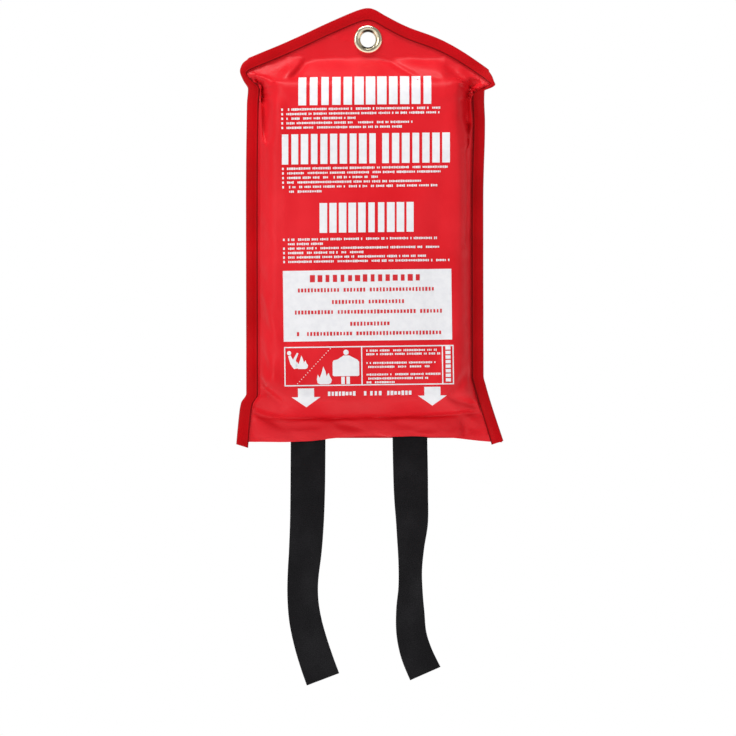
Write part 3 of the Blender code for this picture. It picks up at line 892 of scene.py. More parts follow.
def mirrored(insets, inner):
    """Columns of a panel: (which edge, inset from it, share of what is left) from one edge to the other."""
    left = [(-1, inset, 1.0) for inset in insets]
    middle = [(-1, insets[-1], share) for share in np.linspace(1, 0, inner + 1)[1:]]
    right = [(1, inset, share) for _, inset, share in reversed(left + middle[:-1])]
    return left + middle + right


def row_height(kind, value, x, lowest):
    """The height of a row's point: so far under the roof, a share of the way to the level rows, or level."""
    if kind == "roof":
        return roof_z(x) - PANEL_INSET * 1.1 - value
    if kind == "gable":
        under_tape = PANEL_INSET * 1.1 + TAPE_WIDTH * 1.1
        top, flat = roof_z(x) - under_tape, roof_z(np.clip(x, -0.078, 0.076)) - under_tape
        return flat + (top - flat) * (1 - value) ** 3 + (LEVEL_Z - flat) * value
    if kind == "hem":
        return HINGE_Z + (lowest(x) - HINGE_Z) * value
    return value


def row_end(side, kind, value, lowest):
    """Where a row meets the tape's fold."""
    edge, x = (left_edge, LEFT_EAVE) if side < 0 else (right_edge, RIGHT_EAVE)
    for _ in range(8):
        x = (x + float(edge(row_height(kind, value, x, lowest)))) / 2
    return x


LEVEL_Z = -0.052


def panel_grid(columns, rows, lowest):
    """(x, z) of a panel's grid points. Its rows follow the roof, and lie level from LEVEL_Z down."""
    grid = np.zeros((len(rows), len(columns), 2))
    for r, (kind, value) in enumerate(rows):
        ends = {side: row_end(side, kind, value, lowest) for side in (-1, 1)}
        for c, (side, inset, share) in enumerate(columns):
            x = (ends[side] - side * (PANEL_INSET + inset)) * share
            grid[r, c] = x, row_height(kind, value, x, lowest)
    return grid


# ---- The front cover ----
# The front panel is coated polyester cloth, bound at its edges and slack over the blanket. Its lowest part is
# the mouth's lip: it lies back to the wall as a hem, and it swings out when the blanket is pulled.

TAPE_STEPS = [0.0, 0.0022, 0.0044, 0.0062, TAPE_WIDTH]
swell_angles = np.linspace(0, math.pi / 2, 15)[1:]
round_insets = [SIDE_RUN * (1 - math.cos(a) ** (2 / SIDE_POWER)) for a in swell_angles]
side_insets = TAPE_STEPS + [TAPE_WIDTH + inset for inset in round_insets]
front_columns = mirrored(side_insets, 44)
front_rows = [("roof", step * 1.1) for step in TAPE_STEPS[:-1]]
front_rows += [("gable", share) for share in np.linspace(0, 1, 44, endpoint=False)]
front_rows += [("level", z) for z in np.linspace(LEVEL_Z, HINGE_Z, 126, endpoint=False)]
lip_rows = [("hem", share) for share in np.linspace(0, 1, 45)]
HINGE_ROW = len(front_rows)


def cloth_finish(name, colour, deep, bright, roughness, sheen, with_edge_shade=False):
    """Coated cloth: a plain weave shows faintly through its coating. A tape can get a painted shadow: a dark
    band along its inner edges, where they meet the panels.
    """
    made, start, shader = new_finish(name, colour, roughness, Specular_IOR_Level=sheen)
    place, x, z = on_object(start)
    weave = x.wave(0.00084) * z.wave(0.00084)
    mottle = place.node("ShaderNodeTexNoise", sockets={"Vector": place, "Scale": 24.0, "Detail": 5.0})
    grain = place.node("ShaderNodeTexNoise", sockets={"Vector": place, "Scale": 900.0, "Detail": 3.0})
    crushed = {"Vector": place, "Scale": 95.0, "Detail": 6.0, "Distortion": 0.6}
    crush = place.node("ShaderNodeTexNoise", sockets=crushed)
    height = weave * 0.30 + grain * 0.5 + crush * 3.0
    bump = relief(height, 0.35, 0.00010)
    dye = (mottle + weave * 0.05).between(0.25, 0.75).tint((*deep, 1), (*bright, 1))
    if with_edge_shade:
        # painted shadow: a dark band along the tape's inner edges, where they meet the panels
        across, _ = on_weave(start)
        painted_edge_shade = across.between(TAPE_WIDTH * 0.86, TAPE_WIDTH * 0.95)
        dye = painted_edge_shade.tint(dye, (*(0.42 * c for c in deep), 1))
    feed(
        shader,
        Base_Color=dye,
        Roughness=(mottle * 0.6 + grain * 0.4).between(0.3, 0.7) * 0.14 + (roughness - 0.07),
        Normal=bump,
    )
    return made


COVER_RED, COVER_DEEP, COVER_BRIGHT = (0.72, 0.011, 0.019), (0.68, 0.008, 0.015), (0.75, 0.015, 0.024)
red_cloth = cloth_finish("red_coated_cloth", COVER_RED, COVER_DEEP, COVER_BRIGHT, 0.38, 0.17)
cover_xz = panel_grid(front_columns, front_rows + lip_rows, hem_z)
cover = np.stack(
    [cover_xz[..., 0], -front_depth(cover_xz[..., 0], cover_xz[..., 1]), cover_xz[..., 1]], axis=-1
)
middle_column = len(front_columns) // 2
EYELET_BARE = 0.0086  # no cloth within this of the eyelet's axis
EYELET_HELD = 0.0130
SPARE_CLOTH = 0.030  # how much larger the panel is cut than the shape it covers
SETTLE_FRAMES = 26
MOST_MOVE = 0.0042


def settle_cloth(points, held):
    """Where a grid of cloth goes when it is a little too large for its place, held only at its edges."""
    cloth_obj = grid_mesh("settling_cover", points, None)
    bound = cloth_obj.vertex_groups.new(name="bound")
    bound.add([int(i) for i in np.flatnonzero(held.ravel())], 1.0, "REPLACE")
    cloth = cloth_obj.modifiers.new("cloth", "CLOTH")
    rules = cloth.settings
    rules.quality = 7
    rules.mass = 0.20
    rules.tension_stiffness = rules.compression_stiffness = 25
    rules.shear_stiffness = 12
    rules.bending_stiffness = 1.2
    rules.vertex_group_mass = "bound"
    rules.shrink_min = rules.shrink_max = -SPARE_CLOTH
    rules.effector_weights.gravity = 0.25
    rules.use_pressure = True
    rules.uniform_pressure_force = 1.2
    cloth.collision_settings.use_collision = False
    cloth.collision_settings.use_self_collision = False
    for frame_number in range(1, SETTLE_FRAMES + 1):
        scene.frame_set(frame_number)
    graph = bpy.context.evaluated_depsgraph_get()
    settled = np.array([v.co for v in cloth_obj.evaluated_get(graph).data.vertices]).reshape(points.shape)
    scene.frame_set(1)
    bpy.data.objects.remove(cloth_obj)
    return settled


def evened(field):
    """A field on a grid with its small steps smoothed away."""
    for axis in (0, 1):
        padded = np.concatenate([np.take(field, [0], axis), field, np.take(field, [-1], axis)], axis)
        before, after = np.delete(padded, [-2, -1], axis), np.delete(padded, [0, 1], axis)
        field = (before + 2 * field + after) / 4
    return field


def finer(coarse, shape):
    """A field on every second row and column, filled in between and evened out."""
    rows, columns = np.arange(0, shape[0], 2), np.arange(0, shape[1], 2)
    wide = np.stack([np.interp(np.arange(shape[1]), columns, line) for line in coarse])
    return evened(evened(np.stack([np.interp(np.arange(shape[0]), rows, line) for line in wide.T], axis=1)))


def surface_of(*objs):
    """A tree that finds where a line from the front meets these pieces."""
    verts, faces = [], []
    for obj in objs:
        base = len(verts)
        verts += [v.co.copy() for v in obj.data.vertices]
        faces += [[base + v for v in face.vertices] for face in obj.data.polygons]
    return BVHTree.FromPolygons(verts, faces)


def from_front(surface, x, z):
    """Where a line from the front meets a surface, or None."""
    return surface.ray_cast(Vector((x, -0.2, z)), Vector((0, 1, 0)))[0]


coarse = cover[::2, ::2]
coarse_x, coarse_z = coarse[..., 0], coarse[..., 2]
in_side = inside_tape(coarse_x, coarse_z)
in_roof = roof_z(coarse_x) - TAPE_REACH * 1.12 - coarse_z
held = (in_side < 0.0004) | (in_roof < 0.0004) | (np.hypot(coarse_x, coarse_z) < EYELET_HELD)
held[-1] = True
moved = settle_cloth(coarse, held) - coarse
near_edge = 1 - ease((np.minimum(in_side, in_roof * 0.7) - 0.010) / 0.030)
near_foot = ease((HINGE_Z + 0.022 - coarse_z) / 0.020)
share = 0.35 + 0.65 * np.maximum(near_edge, near_foot)
length = np.linalg.norm(moved, axis=-1)
cap = MOST_MOVE * np.tanh(length / MOST_MOVE) / np.maximum(length, 1e-9) * share
for axis in range(3):
    cover[..., axis] += finer(moved[..., axis] * cap, cover.shape[:2])

under_tape = inside_tape(cover_xz[..., 0], cover_xz[..., 1]) <= 0
too_far = np.minimum(inside_tape(cover[..., 0], cover[..., 2]), 0)
cover[..., 0] += np.where(under_tape, 0, too_far * np.sign(cover[..., 0]))
CLEAR_OF_CLOTH, LEAST_CLEAR = 0.0016, 0.0009  # from what lies inside to the cover's outer face
contents = surface_of(*filling)
hits = [from_front(contents, x, z) for x, _, z in cover.reshape(-1, 3)]
reached = np.array([-hit.y if hit else 0 for hit in hits]).reshape(cover.shape[:2])
for axis in (0, 1):
    reached = np.maximum(reached, np.maximum(np.roll(reached, 1, axis), np.roll(reached, -1, axis)))
depth = -cover[..., 1]
lift = np.where(reached > 0, np.maximum(reached + CLEAR_OF_CLOTH - depth, 0), 0)
for _ in range(5):
    lift = evened(lift)
depth = np.where(under_tape, depth, np.maximum(depth + lift, reached + LEAST_CLEAR * (reached > 0)))
behind = back_depth(cover[..., 0], cover[..., 2]) + 2 * FABRIC + 0.0002
cover[..., 1] = -np.where(under_tape, depth, np.maximum(depth, behind))


def at_eyelet(point):
    return math.hypot(point[0], point[2]) < EYELET_BARE


front = walled(grid_mesh("front_cover", cover[: HINGE_ROW + 1], red_cloth, at_eyelet), FABRIC)
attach(front, "pouch")
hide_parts("front_panel")
# Where the real lip swings fully, inside the first x, and not at all, outside the second.
LIP_FREE, LIP_HELD = 0.029, 0.077
lips = {}
halves = {"left": cover[HINGE_ROW:, : middle_column + 1], "right": cover[HINGE_ROW:, middle_column:]}
for side, half in halves.items():
    sign = -1 if side == "left" else 1
    lip = walled(grid_mesh(f"{side}_mouth_lip", half, red_cloth), FABRIC)
    sign * LIP_HELD
    sign * LIP_FREE
    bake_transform(lip)
    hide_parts("front_mouth_lip")
    lips[side] = lip
cloth_face = surface_of(front, *lips.values())

# ---- The back panel ----
# The same cloth, flat where it hangs against the wall. Its edges stand forward into the binding, and its roof
# stands forward too, to leave room for the eyelet's washer.

back_xz = panel_grid(mirrored([0.0, 0.0040, 0.0080, 0.0110, 0.0140, 0.0170], 48), [
    *(("roof", step * 1.1) for step in TAPE_STEPS[:-1:2]),
    *(("gable", share) for share in np.linspace(0, 1, 44, endpoint=False)),
    *(("level", z) for z in np.linspace(LEVEL_Z, MOUTH_Z + 0.0015, 60)),
], hem_z)
back_x, back_z = back_xz[..., 0], back_xz[..., 1]
back_y = -back_depth(back_x, back_z)
back = grid_mesh("back_cover", np.stack([back_x, back_y, back_z], axis=-1), red_cloth, at_eyelet, flip=True)
walled(back, FABRIC)
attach(back, "pouch")
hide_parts("back_panel")

# ---- The bindings ----
# Red polyester tape, folded over the panels' raw edges and sewn through with one row of lockstitch. One tape
# runs along both slopes of the roof and round the eaves, and one down each side, left long below the hem.

STITCH_LINE = 0.80  # share of the tape's width
TAPE_RED, TAPE_DEEP, TAPE_BRIGHT = (0.50, 0.001, 0.004), (0.44, 0.0006, 0.003), (0.56, 0.0015, 0.006)
# the last argument gives the tape a painted shadow along its inner edges
tape_red = cloth_finish("red_binding_tape", TAPE_RED, TAPE_DEEP, TAPE_BRIGHT, 0.46, 0.10, True)
red_stitches = stitch_tree("red_lockstitch", thread_finish("red_thread", (0.50, 0.004, 0.012)))


def bound_depth(x, z):
    """The front panel's outer face where tape lies on it."""
    return EDGE_DEPTH + edge_wave(x, z)


def tape_depth(face, share, x, z):
    """How far in front of the wall the tape's outer face stands, a share of its width in from the fold."""
    dip = 0.00018 if share == STITCH_LINE else 0.0
    puff = 0.00022 * math.sin(math.pi * min(share / STITCH_LINE, 1)) + TAPE + 0.0001 - dip
    behind, before = float(back_depth(x, z)), float(bound_depth(x, z))
    return {"back": behind - puff, "fold": (behind + before) / 2, "front": before + puff}[face]


def tape(name, outer, inner, finish):
    """A folded tape from its fold, along outer, to its edges, along inner: both are (x, z) points."""
    legs = [1.0, 0.88, STITCH_LINE, 0.70, 0.45, 0.20, 0.06]
    section = [("back", share) for share in legs] + [("fold", 0.0)]
    section += [("front", share) for share in legs[::-1]]
    places = [start + (end - start) * share for start, end in zip(outer, inner) for _, share in section]
    faces = section * len(outer)
    points = [(x, -tape_depth(face, share, x, z), z) for (x, z), (face, share) in zip(places, faces)]
    strip = grid_mesh(name, np.array(points).reshape(len(outer), len(section), 3), finish)
    length = np.concatenate([[0], np.cumsum(np.linalg.norm(np.diff(outer, axis=0), axis=1))])
    shares = [share for _, share in section]
    lay_uv(strip.data, np.tile(shares, len(outer)) * TAPE_WIDTH, np.repeat(length, len(section)))
    return strip


def tape_seams(outer, inner, proud=0.00008):
    """The stitch lines on the front and on the back of a tape."""
    sewn = [start + (end - start) * STITCH_LINE for start, end in zip(outer[2:-3], inner[2:-3])]
    front_line = [(x, -tape_depth("front", STITCH_LINE, x, z) - proud, z) for x, z in sewn]
    back_line = [(x, -tape_depth("back", STITCH_LINE, x, z) + proud, z) for x, z in sewn]
    return [front_line, back_line]


def side_run(side, top, bottom, step=0.0008):
    """A side tape's fold and inner edge. Its lower end is cut a little aslant."""
    heights = np.linspace(top, bottom, round((top - bottom) / step))
    edge = left_edge(heights) if side < 0 else right_edge(heights)
    outer = np.stack([edge, heights], axis=1)
    inner = np.stack([edge - side * side_width(side, heights), heights], axis=1)
    inner[:, 1] -= 0.0026 * ((top - heights) / (top - bottom)) ** 12
    return outer, inner


def roof_run():
    """The roof tape's fold and inner edge, from the left ear's tip over the apex to the right ear's tip."""
    inner_reach = TAPE_WIDTH / math.cos(math.radians(24))
    folds, inners = [], []
    for t in np.linspace(0, 1, 15)[:-1]:
        z = -0.0245 + t * 0.0107
        folds.append((float(left_edge(z)), z))
        inners.append((-0.0872 + 0.0027 * t, -0.0240 + 0.0021 * t))
    for t in np.linspace(0, 1, 130):
        x = LEFT_EAVE + t * (RIGHT_EAVE - LEFT_EAVE)
        folds.append((x, float(roof_z(x))))
        x = -0.0845 + t * (0.0835 + 0.0845)
        inners.append((x, float(roof_z(x)) - inner_reach))
    for t in np.linspace(0, 1, 17)[1:]:
        z = -0.0226 - t * 0.0100
        folds.append((float(right_edge(z)), z))
        inners.append((0.0835 + 0.0042 * t, inners[143][1] - t * 0.0036))
    return np.array(folds), np.array(inners)


runs = {
    "left_side": ("left_side_binding", *side_run(-1, -0.0236, MOUTH_Z - 0.0029)),
    "right_side": ("right_side_binding", *side_run(1, -0.0320, MOUTH_Z - 0.0006)),
    "roof": ("top_binding", *roof_run()),
}
for name, (node, outer, inner) in runs.items():
    flat_tape = tape(f"{name}_tape", outer, inner, tape_red)
    strip = walled(flat_tape, TAPE * 0.8, 1.0 if name == "left_side" else -1.0)
    outward(strip.data)
    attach(strip, "pouch")
    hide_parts(node)
    sew(f"{name}_tape_stitches", red_stitches, tape_seams(outer, inner), "pouch")


# ---- The eyelet ----
# A brass eyelet, pressed through both panels: its domed flange holds the front, and its barrel is rolled over
# a flat brass washer behind. The whole pouch hangs from it.

barrel_low, barrel_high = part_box("eyelet_barrel")
washer_low, washer_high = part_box("eyelet_washer")
FLANGE_RADIUS = barrel_high[0]
HOLE_RADIUS = 0.0055
CROWN_DEPTH = -barrel_low[1] + 0.0002
ROLL_DEPTH = -barrel_high[1]
FLANGE_FOOT = EDGE_DEPTH + 0.0001


def brass_finish():
    """Pale pressed brass, polished, with fine turning marks, a little tarnish in the throat, and painted dark
    reflections as arcs above and below the hole.
    """
    made, start, shader = new_finish("brass", (0.83, 0.68, 0.42), 0.20, 1.0)
    place, x, z = on_object(start)
    radius = x.calc("SQRT", x * x + z * z)
    marks = place.node("ShaderNodeTexNoise", sockets={"Vector": place, "Scale": 700.0, "Detail": 3.0})
    rings = radius.wave(0.00028) * 0.5 + marks
    tarnish = place.node("ShaderNodeTexNoise", sockets={"Vector": place, "Scale": 210.0, "Detail": 5.0})
    throat = 1.0 - radius.between(HOLE_RADIUS, HOLE_RADIUS + 0.0012)
    dull = (tarnish * 0.6 + throat * 0.3).between(0.30, 0.85)
    # painted reflection: dark arcs above and below the hole stand in for dark surroundings mirrored in the
    # brass
    steep = (z.calc("ABSOLUTE", z) / radius).between(0.62, 0.93)
    painted_dark_arcs = steep * (1.0 - radius.between(0.0066, 0.0080))
    worn_brass = dull.tint((0.92, 0.82, 0.60, 1), (0.58, 0.46, 0.26, 1))
    feed(
        shader,
        Base_Color=painted_dark_arcs.tint(worn_brass, (0.035, 0.028, 0.016, 1)),
        Roughness=dull * 0.22 + 0.15,
        Normal=relief(rings, 0.25, 0.00003),
    )
    return made


brass = brass_finish()


def arc(centre, radius, first, last, count=9):
    """Points on a round corner, as (from the axis, depth)."""
    angles = np.radians(np.linspace(first, last, count))
    return [(centre[0] + radius[0] * math.cos(a), centre[1] + radius[1] * math.sin(a)) for a in angles]


def turned(name, profile, finish, steps=96):
    """A ring about the eyelet's axis, from a closed profile of (from the axis, depth)."""
    mesh = bpy.data.meshes.new(name)
    points = [(radius, -depth, 0) for radius, depth in profile]
    mesh.from_pydata(points, [(i, (i + 1) % len(points)) for i in range(len(points))], [])
    ring = add_object(name, mesh, finish)
    spin = ring.modifiers.new("turn", "SCREW")
    spin.axis = "Y"
    spin.steps = spin.render_steps = steps
    spin.use_merge_vertices = True
    spin.merge_threshold = 0.00001
    settle(ring)
    outward(ring.data)
    return smooth_faces(ring, 40)


dome_middle = (FLANGE_RADIUS + HOLE_RADIUS) / 2 + 0.0004
outer_run, inner_run = FLANGE_RADIUS - dome_middle, dome_middle - HOLE_RADIUS
barrel_profile = [
    (FLANGE_RADIUS, FLANGE_FOOT),
    *arc((dome_middle, FLANGE_FOOT + 0.0003), (outer_run, CROWN_DEPTH - FLANGE_FOOT - 0.0003), 0, 90, 12),
    *arc((dome_middle, CROWN_DEPTH - 0.0026), (inner_run, 0.0026), 90, 180, 12)[1:],
    *arc((HOLE_RADIUS + 0.0009, ROLL_DEPTH + 0.0007), (0.0009, 0.0007), 180, 270, 6),
    *arc((0.0068, ROLL_DEPTH + 0.00025), (0.0005, 0.00025), -90, 90, 7),
    (HOLE_RADIUS + 0.0005, ROLL_DEPTH + 0.0005),
    (HOLE_RADIUS + 0.0005, FLANGE_FOOT),
]
washer_profile = [
    *arc((FLANGE_RADIUS - 0.0002, -washer_high[1] + 0.0002), (0.0002, 0.0002), -90, 0, 4),
    *arc((FLANGE_RADIUS - 0.0002, -washer_low[1] - 0.0002), (0.0002, 0.0002), 0, 90, 4),
    (HOLE_RADIUS + 0.0007, -washer_low[1]),
    (HOLE_RADIUS + 0.0007, -washer_high[1]),
]
for name, profile, node in (
    ("brass_eyelet", barrel_profile, "eyelet_barrel"),
    ("brass_washer", washer_profile, "eyelet_washer"),
):
    ring = turned(name, profile, brass)
    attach(ring, "pouch")
    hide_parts(node)


# ---- The mouth's fastening ----
# A short hook-and-loop pair closes the mouth between the straps: the soft loop strip is sewn on the back
# panel, and the hook strip inside the lip. It opens at a pull on the straps.

loop_low, loop_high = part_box("loop_strip")
CLOSURE_X = (loop_low[0], loop_high[0])
CLOSURE_Z = (loop_low[2] + 0.0014, loop_high[2])
HOOK_BASE, LOOP_BASE = 0.00035, 0.00030


def pile_tree(name, finish, wide_turn):
    """Bent hairs that stand on a strip: part of a ring each, spread over the strip's upper face."""
    sizes = {size: "NodeSocketFloat" for size in ("Density", "Height", "Hair")}
    tree, given = new_tree(name, sizes | {"Seed": "NodeSocketInt"})
    base = given["Geometry"]
    spread = base.node(
        "GeometryNodeDistributePointsOnFaces",
        {"distribute_method": "RANDOM"},
        {"Mesh": base, "Density": given["Density"], "Seed": given["Seed"]},
        out="Points",
    )
    ring = base.node(
        "GeometryNodeCurveArc",
        {"mode": "RADIUS"},
        {"Resolution": 8, "Radius": given["Height"] * 0.6, "Start Angle": -0.6, "Sweep Angle": wide_turn},
    )
    hair = base.node("GeometryNodeCurvePrimitiveCircle", sockets={"Resolution": 4, "Radius": given["Hair"]})
    swept = {"Curve": ring, "Profile Curve": hair, "Fill Caps": True}
    bent = base.node("GeometryNodeCurveToMesh", sockets=swept)
    spin = base.node(
        "FunctionNodeRandomValue", {"data_type": "FLOAT"}, {2: 0.0, 3: 6.28, "Seed": given["Seed"]}, out=1
    )
    turn = base.node("ShaderNodeCombineXYZ", sockets={0: 0.0, 1: spin, 2: 0.0})
    planted = base.node(
        "GeometryNodeInstanceOnPoints", sockets={"Points": spread, "Instance": bent, "Rotation": turn}
    )
    joined = base.node("GeometryNodeJoinGeometry")
    target = next(node for node in tree.nodes if node.bl_idname == "GeometryNodeJoinGeometry").inputs[0]
    tree.links.new(base.output, target)
    tree.links.new(planted.output, target)
    close_tree(joined, finish)
    return tree


HOOK_REDS = (0.30, 0.006, 0.010), (0.26, 0.004, 0.008), (0.34, 0.008, 0.013)
hook_red = cloth_finish("red_hook_tape", *HOOK_REDS, 0.5, 0.2)
LOOP_REDS = (0.33, 0.006, 0.012), (0.28, 0.004, 0.009), (0.38, 0.010, 0.016)
loop_red = cloth_finish("red_loop_pile", *LOOP_REDS, 0.9, 0.1)
closure_x = np.linspace(*CLOSURE_X, 27)
closure_z = np.linspace(CLOSURE_Z[1], CLOSURE_Z[0], 10)
strip_x, strip_z = np.meshgrid(closure_x, closure_z)
loop_y = -back_depth(strip_x, strip_z) - FABRIC - 0.0001 - LOOP_BASE
lip_hits = [from_front(cloth_face, x, z) for x, z in zip(strip_x.flat, strip_z.flat)]
hook_y = np.array([hit.y for hit in lip_hits]).reshape(strip_x.shape) + FABRIC + 0.0001 + HOOK_BASE
for name, y, finish, body, node, flip, density, sweep in (
    ("loop_strip_pile", loop_y, loop_red, "pouch", "loop_strip", False, 9.0e5, 4.4),
    ("hook_strip_hooks", hook_y, hook_red, "mouth_lip", "hook_strip", True, 5.0e5, 3.3),
):
    strip = grid_mesh(name, np.stack([strip_x, y, strip_z], axis=-1), finish, flip=flip)
    tree = pile_tree(f"{name}_tree", finish, sweep)
    grow(strip, tree, {"Density": density, "Height": 0.00035, "Hair": 0.00005, "Seed": 7})
    smooth_faces(strip)
    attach(strip, body)
    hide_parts(node)
    "loop_tape" if body == "pouch" else "hook_tape"


# ---- The print ----
# One white ink, screen printed on the front: three bold headings over lines of small print, a panel, a row of
# pictures in a frame and two arrows over the straps. It carries no words here, only blocks and bars.

INK = 0.00004  # the ink's thickness
INK_LIFT = 0.00015  # of its outer face over the cloth
PRINT_TURN = math.radians(0.75)  # the print sits a little askew
PRINT_MIDDLE = (0.0, -0.175)
SURFACE_STEP = 0.0013  # the size of the cells that bend to the cloth


def ink_finish(name, colour, shade):
    """A thin layer of ink, which takes a little of the cloth's weave."""
    made, start, shader = new_finish(name, colour, 0.48, Specular_IOR_Level=0.4)
    place, x, z = on_object(start)
    weave = x.wave(0.00084) * z.wave(0.00084)
    worn = place.node("ShaderNodeTexNoise", sockets={"Vector": place, "Scale": 260.0, "Detail": 6.0})
    feed(
        shader,
        Base_Color=(worn + weave * 0.05).between(0.30, 0.75).tint((*colour, 1), (*shade, 1)),
        Roughness=worn * 0.2 + 0.38,
        Normal=relief(weave, 0.3, 0.00004),
    )
    return made


white_ink = ink_finish("white_ink", (0.85, 0.85, 0.87), (0.79, 0.79, 0.82))
red_ink = ink_finish("red_ink", (0.66, 0.012, 0.022), (0.60, 0.010, 0.018))


def askew(x, z):
    """A point of the straight print's plan, turned with the print."""
    dx, dz = x - PRINT_MIDDLE[0], z - PRINT_MIDDLE[1]
    c, s = math.cos(PRINT_TURN), math.sin(PRINT_TURN)
    return PRINT_MIDDLE[0] + dx * c - dz * s, PRINT_MIDDLE[1] + dx * s + dz * c


def lay_on_cloth(obj, lift=INK_LIFT, wall=INK):
    """Bends a flat shape to the front's cloth, and gives it the ink's thickness."""
    for vert in obj.data.vertices:
        hit = from_front(cloth_face, vert.co.x, vert.co.z)
        vert.co.y = (hit.y if hit else -FULL_DEPTH) - lift
    thin = obj.modifiers.new("ink", "SOLIDIFY")
    thin.thickness = wall
    thin.offset = -1
    settle(obj)
    obj.data.shade_smooth()
    obj.data.set_sharp_from_angle(angle=math.radians(50))
    return obj


def printed(obj, side=None):
    """Puts a print on the pouch's body. A print on one half of the lip only has its place baked into its shape.
    """
    if side:
        sign = -1 if side == "left" else 1
        sign * LIP_HELD
        sign * LIP_FREE
        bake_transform(obj)
    else:
        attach(obj, "pouch")
    return obj


def cut_cells(shape, step=SURFACE_STEP):
    """Cuts a flat shape, in a bmesh, into cells by upright and level lines."""
    for axis in (0, 2):
        places = [vert.co[axis] for vert in shape.verts]
        for line in np.arange(math.ceil(min(places) / step) * step, max(places), step):
            point, normal = Vector((0, 0, 0)), Vector((0, 0, 0))
            point[axis], normal[axis] = line, 1
            parts = [*shape.verts, *shape.edges, *shape.faces]
            bmesh.ops.bisect_plane(shape, geom=parts, plane_co=point, plane_no=normal, dist=1e-6)


def ink_shapes(name, outlines, ink, lift=INK_LIFT):
    """Filled outlines, each a list of (x, z) in the print's plan, as one piece of ink on the cloth."""
    shape = bmesh.new()
    for outline in outlines:
        verts = [shape.verts.new((x, 0, z)) for x, z in (askew(*point) for point in outline)]
        face = shape.faces.new(verts)
        face.normal_update()
        if face.normal.y > 0:
            face.normal_flip()
    bmesh.ops.triangulate(shape, faces=[face for face in shape.faces if len(face.verts) > 4])
    cut_cells(shape)
    mesh = bpy.data.meshes.new(name)
    shape.to_mesh(mesh)
    shape.free()
    return lay_on_cloth(add_object(name, mesh, ink), lift)


def box_outline(x0, x1, z0, z1):
    return [(x0, z0), (x1, z0), (x1, z1), (x0, z1)]


def row_tree(name, ink):
    """Blocks in a row along each edge of a mesh, with some left out as the gaps between words."""
    lengths = ("Pitch", "Width", "Height", "Spare", "Short", "Gaps")
    sizes = {size: "NodeSocketFloat" for size in lengths}
    sizes |= {count: "NodeSocketInt" for count in ("Across", "Cells", "Seed")}
    tree, given = new_tree(name, sizes)
    line = given["Geometry"].node("GeometryNodeMeshToCurve", sockets={"Mesh": given["Geometry"]})
    stepped = {"Curve": line, "Length": given["Pitch"]}
    points = line.node("GeometryNodeCurveToPoints", {"mode": "LENGTH"}, stepped, out="Points")
    drop = line.node(
        "FunctionNodeRandomValue",
        {"data_type": "BOOLEAN"},
        {"Probability": given["Gaps"], "Seed": given["Seed"]},
        out=3,
    )
    dropped = {"Geometry": points, "Selection": drop}
    words = line.node("GeometryNodeDeleteGeometry", {"domain": "POINT"}, dropped)
    block = line.node(
        "GeometryNodeMeshGrid",
        sockets={"Size X": 1.0, "Size Y": 1.0, "Vertices X": given["Across"], "Vertices Y": given["Cells"]},
    )
    widths = {2: 1.0 - given["Spare"], 3: 1.0, "Seed": given["Seed"]}
    heights = {2: 1.0 - given["Short"], 3: 1.0, "Seed": 3}
    wide = line.node("FunctionNodeRandomValue", {"data_type": "FLOAT"}, widths, out=1)
    tall = line.node("FunctionNodeRandomValue", {"data_type": "FLOAT"}, heights, out=1)
    size = line.node(
        "ShaderNodeCombineXYZ", sockets={0: given["Width"] * wide, 1: given["Height"] * tall, 2: 1.0}
    )
    stood = line.node(
        "GeometryNodeInstanceOnPoints",
        sockets={"Points": words, "Instance": block, "Rotation": (math.pi / 2, 0, 0), "Scale": size},
    )
    close_tree(stood, ink)
    return tree


white_rows, red_rows = row_tree("white_rows", white_ink), row_tree("red_rows", red_ink)


def ink_rows(name, tree, lines, sizes, lift=INK_LIFT):
    """Rows of blocks along lines, each (first x, last x, middle height) in the print's plan."""
    ends = [(askew(x, z)[0], 0, askew(x, z)[1]) for x0, x1, z in lines for x in (x0, x1)]
    mesh = bpy.data.meshes.new(name)
    mesh.from_pydata(ends, [(i, i + 1) for i in range(0, len(ends), 2)], [])
    return lay_on_cloth(grow(add_object(name, mesh, None), tree, sizes), lift)


HEADINGS = [  # the outer ends of each word and its number of blocks, then the row's top and foot
    ([(-0.0480, 0.0471, 12)], -0.0275, -0.0480),
    ([(-0.0601, 0.0071, 10), (0.0109, 0.0593, 7)], -0.0684, -0.0897),
    ([(-0.0336, 0.0330, 10)], -0.1174, -0.1385),
]
for number, (words, top, foot) in enumerate(HEADINGS, 1):
    for letter, (x0, x1, blocks) in zip("ab", words):
        pitch = (x1 - x0 + 0.0016) / blocks
        first = x0 - 0.0008 + pitch / 2
        sizes = {"Pitch": pitch * 0.999, "Width": pitch - 0.0013, "Height": top - foot}
        sizes |= {"Spare": 0.24, "Short": 0.0, "Gaps": 0.0, "Across": 8, "Cells": 26, "Seed": number}
        line = (first, first + pitch * (blocks - 1), (top + foot) / 2)
        printed(ink_rows(f"heading_{number}{letter}_blocks", white_rows, [line], sizes))

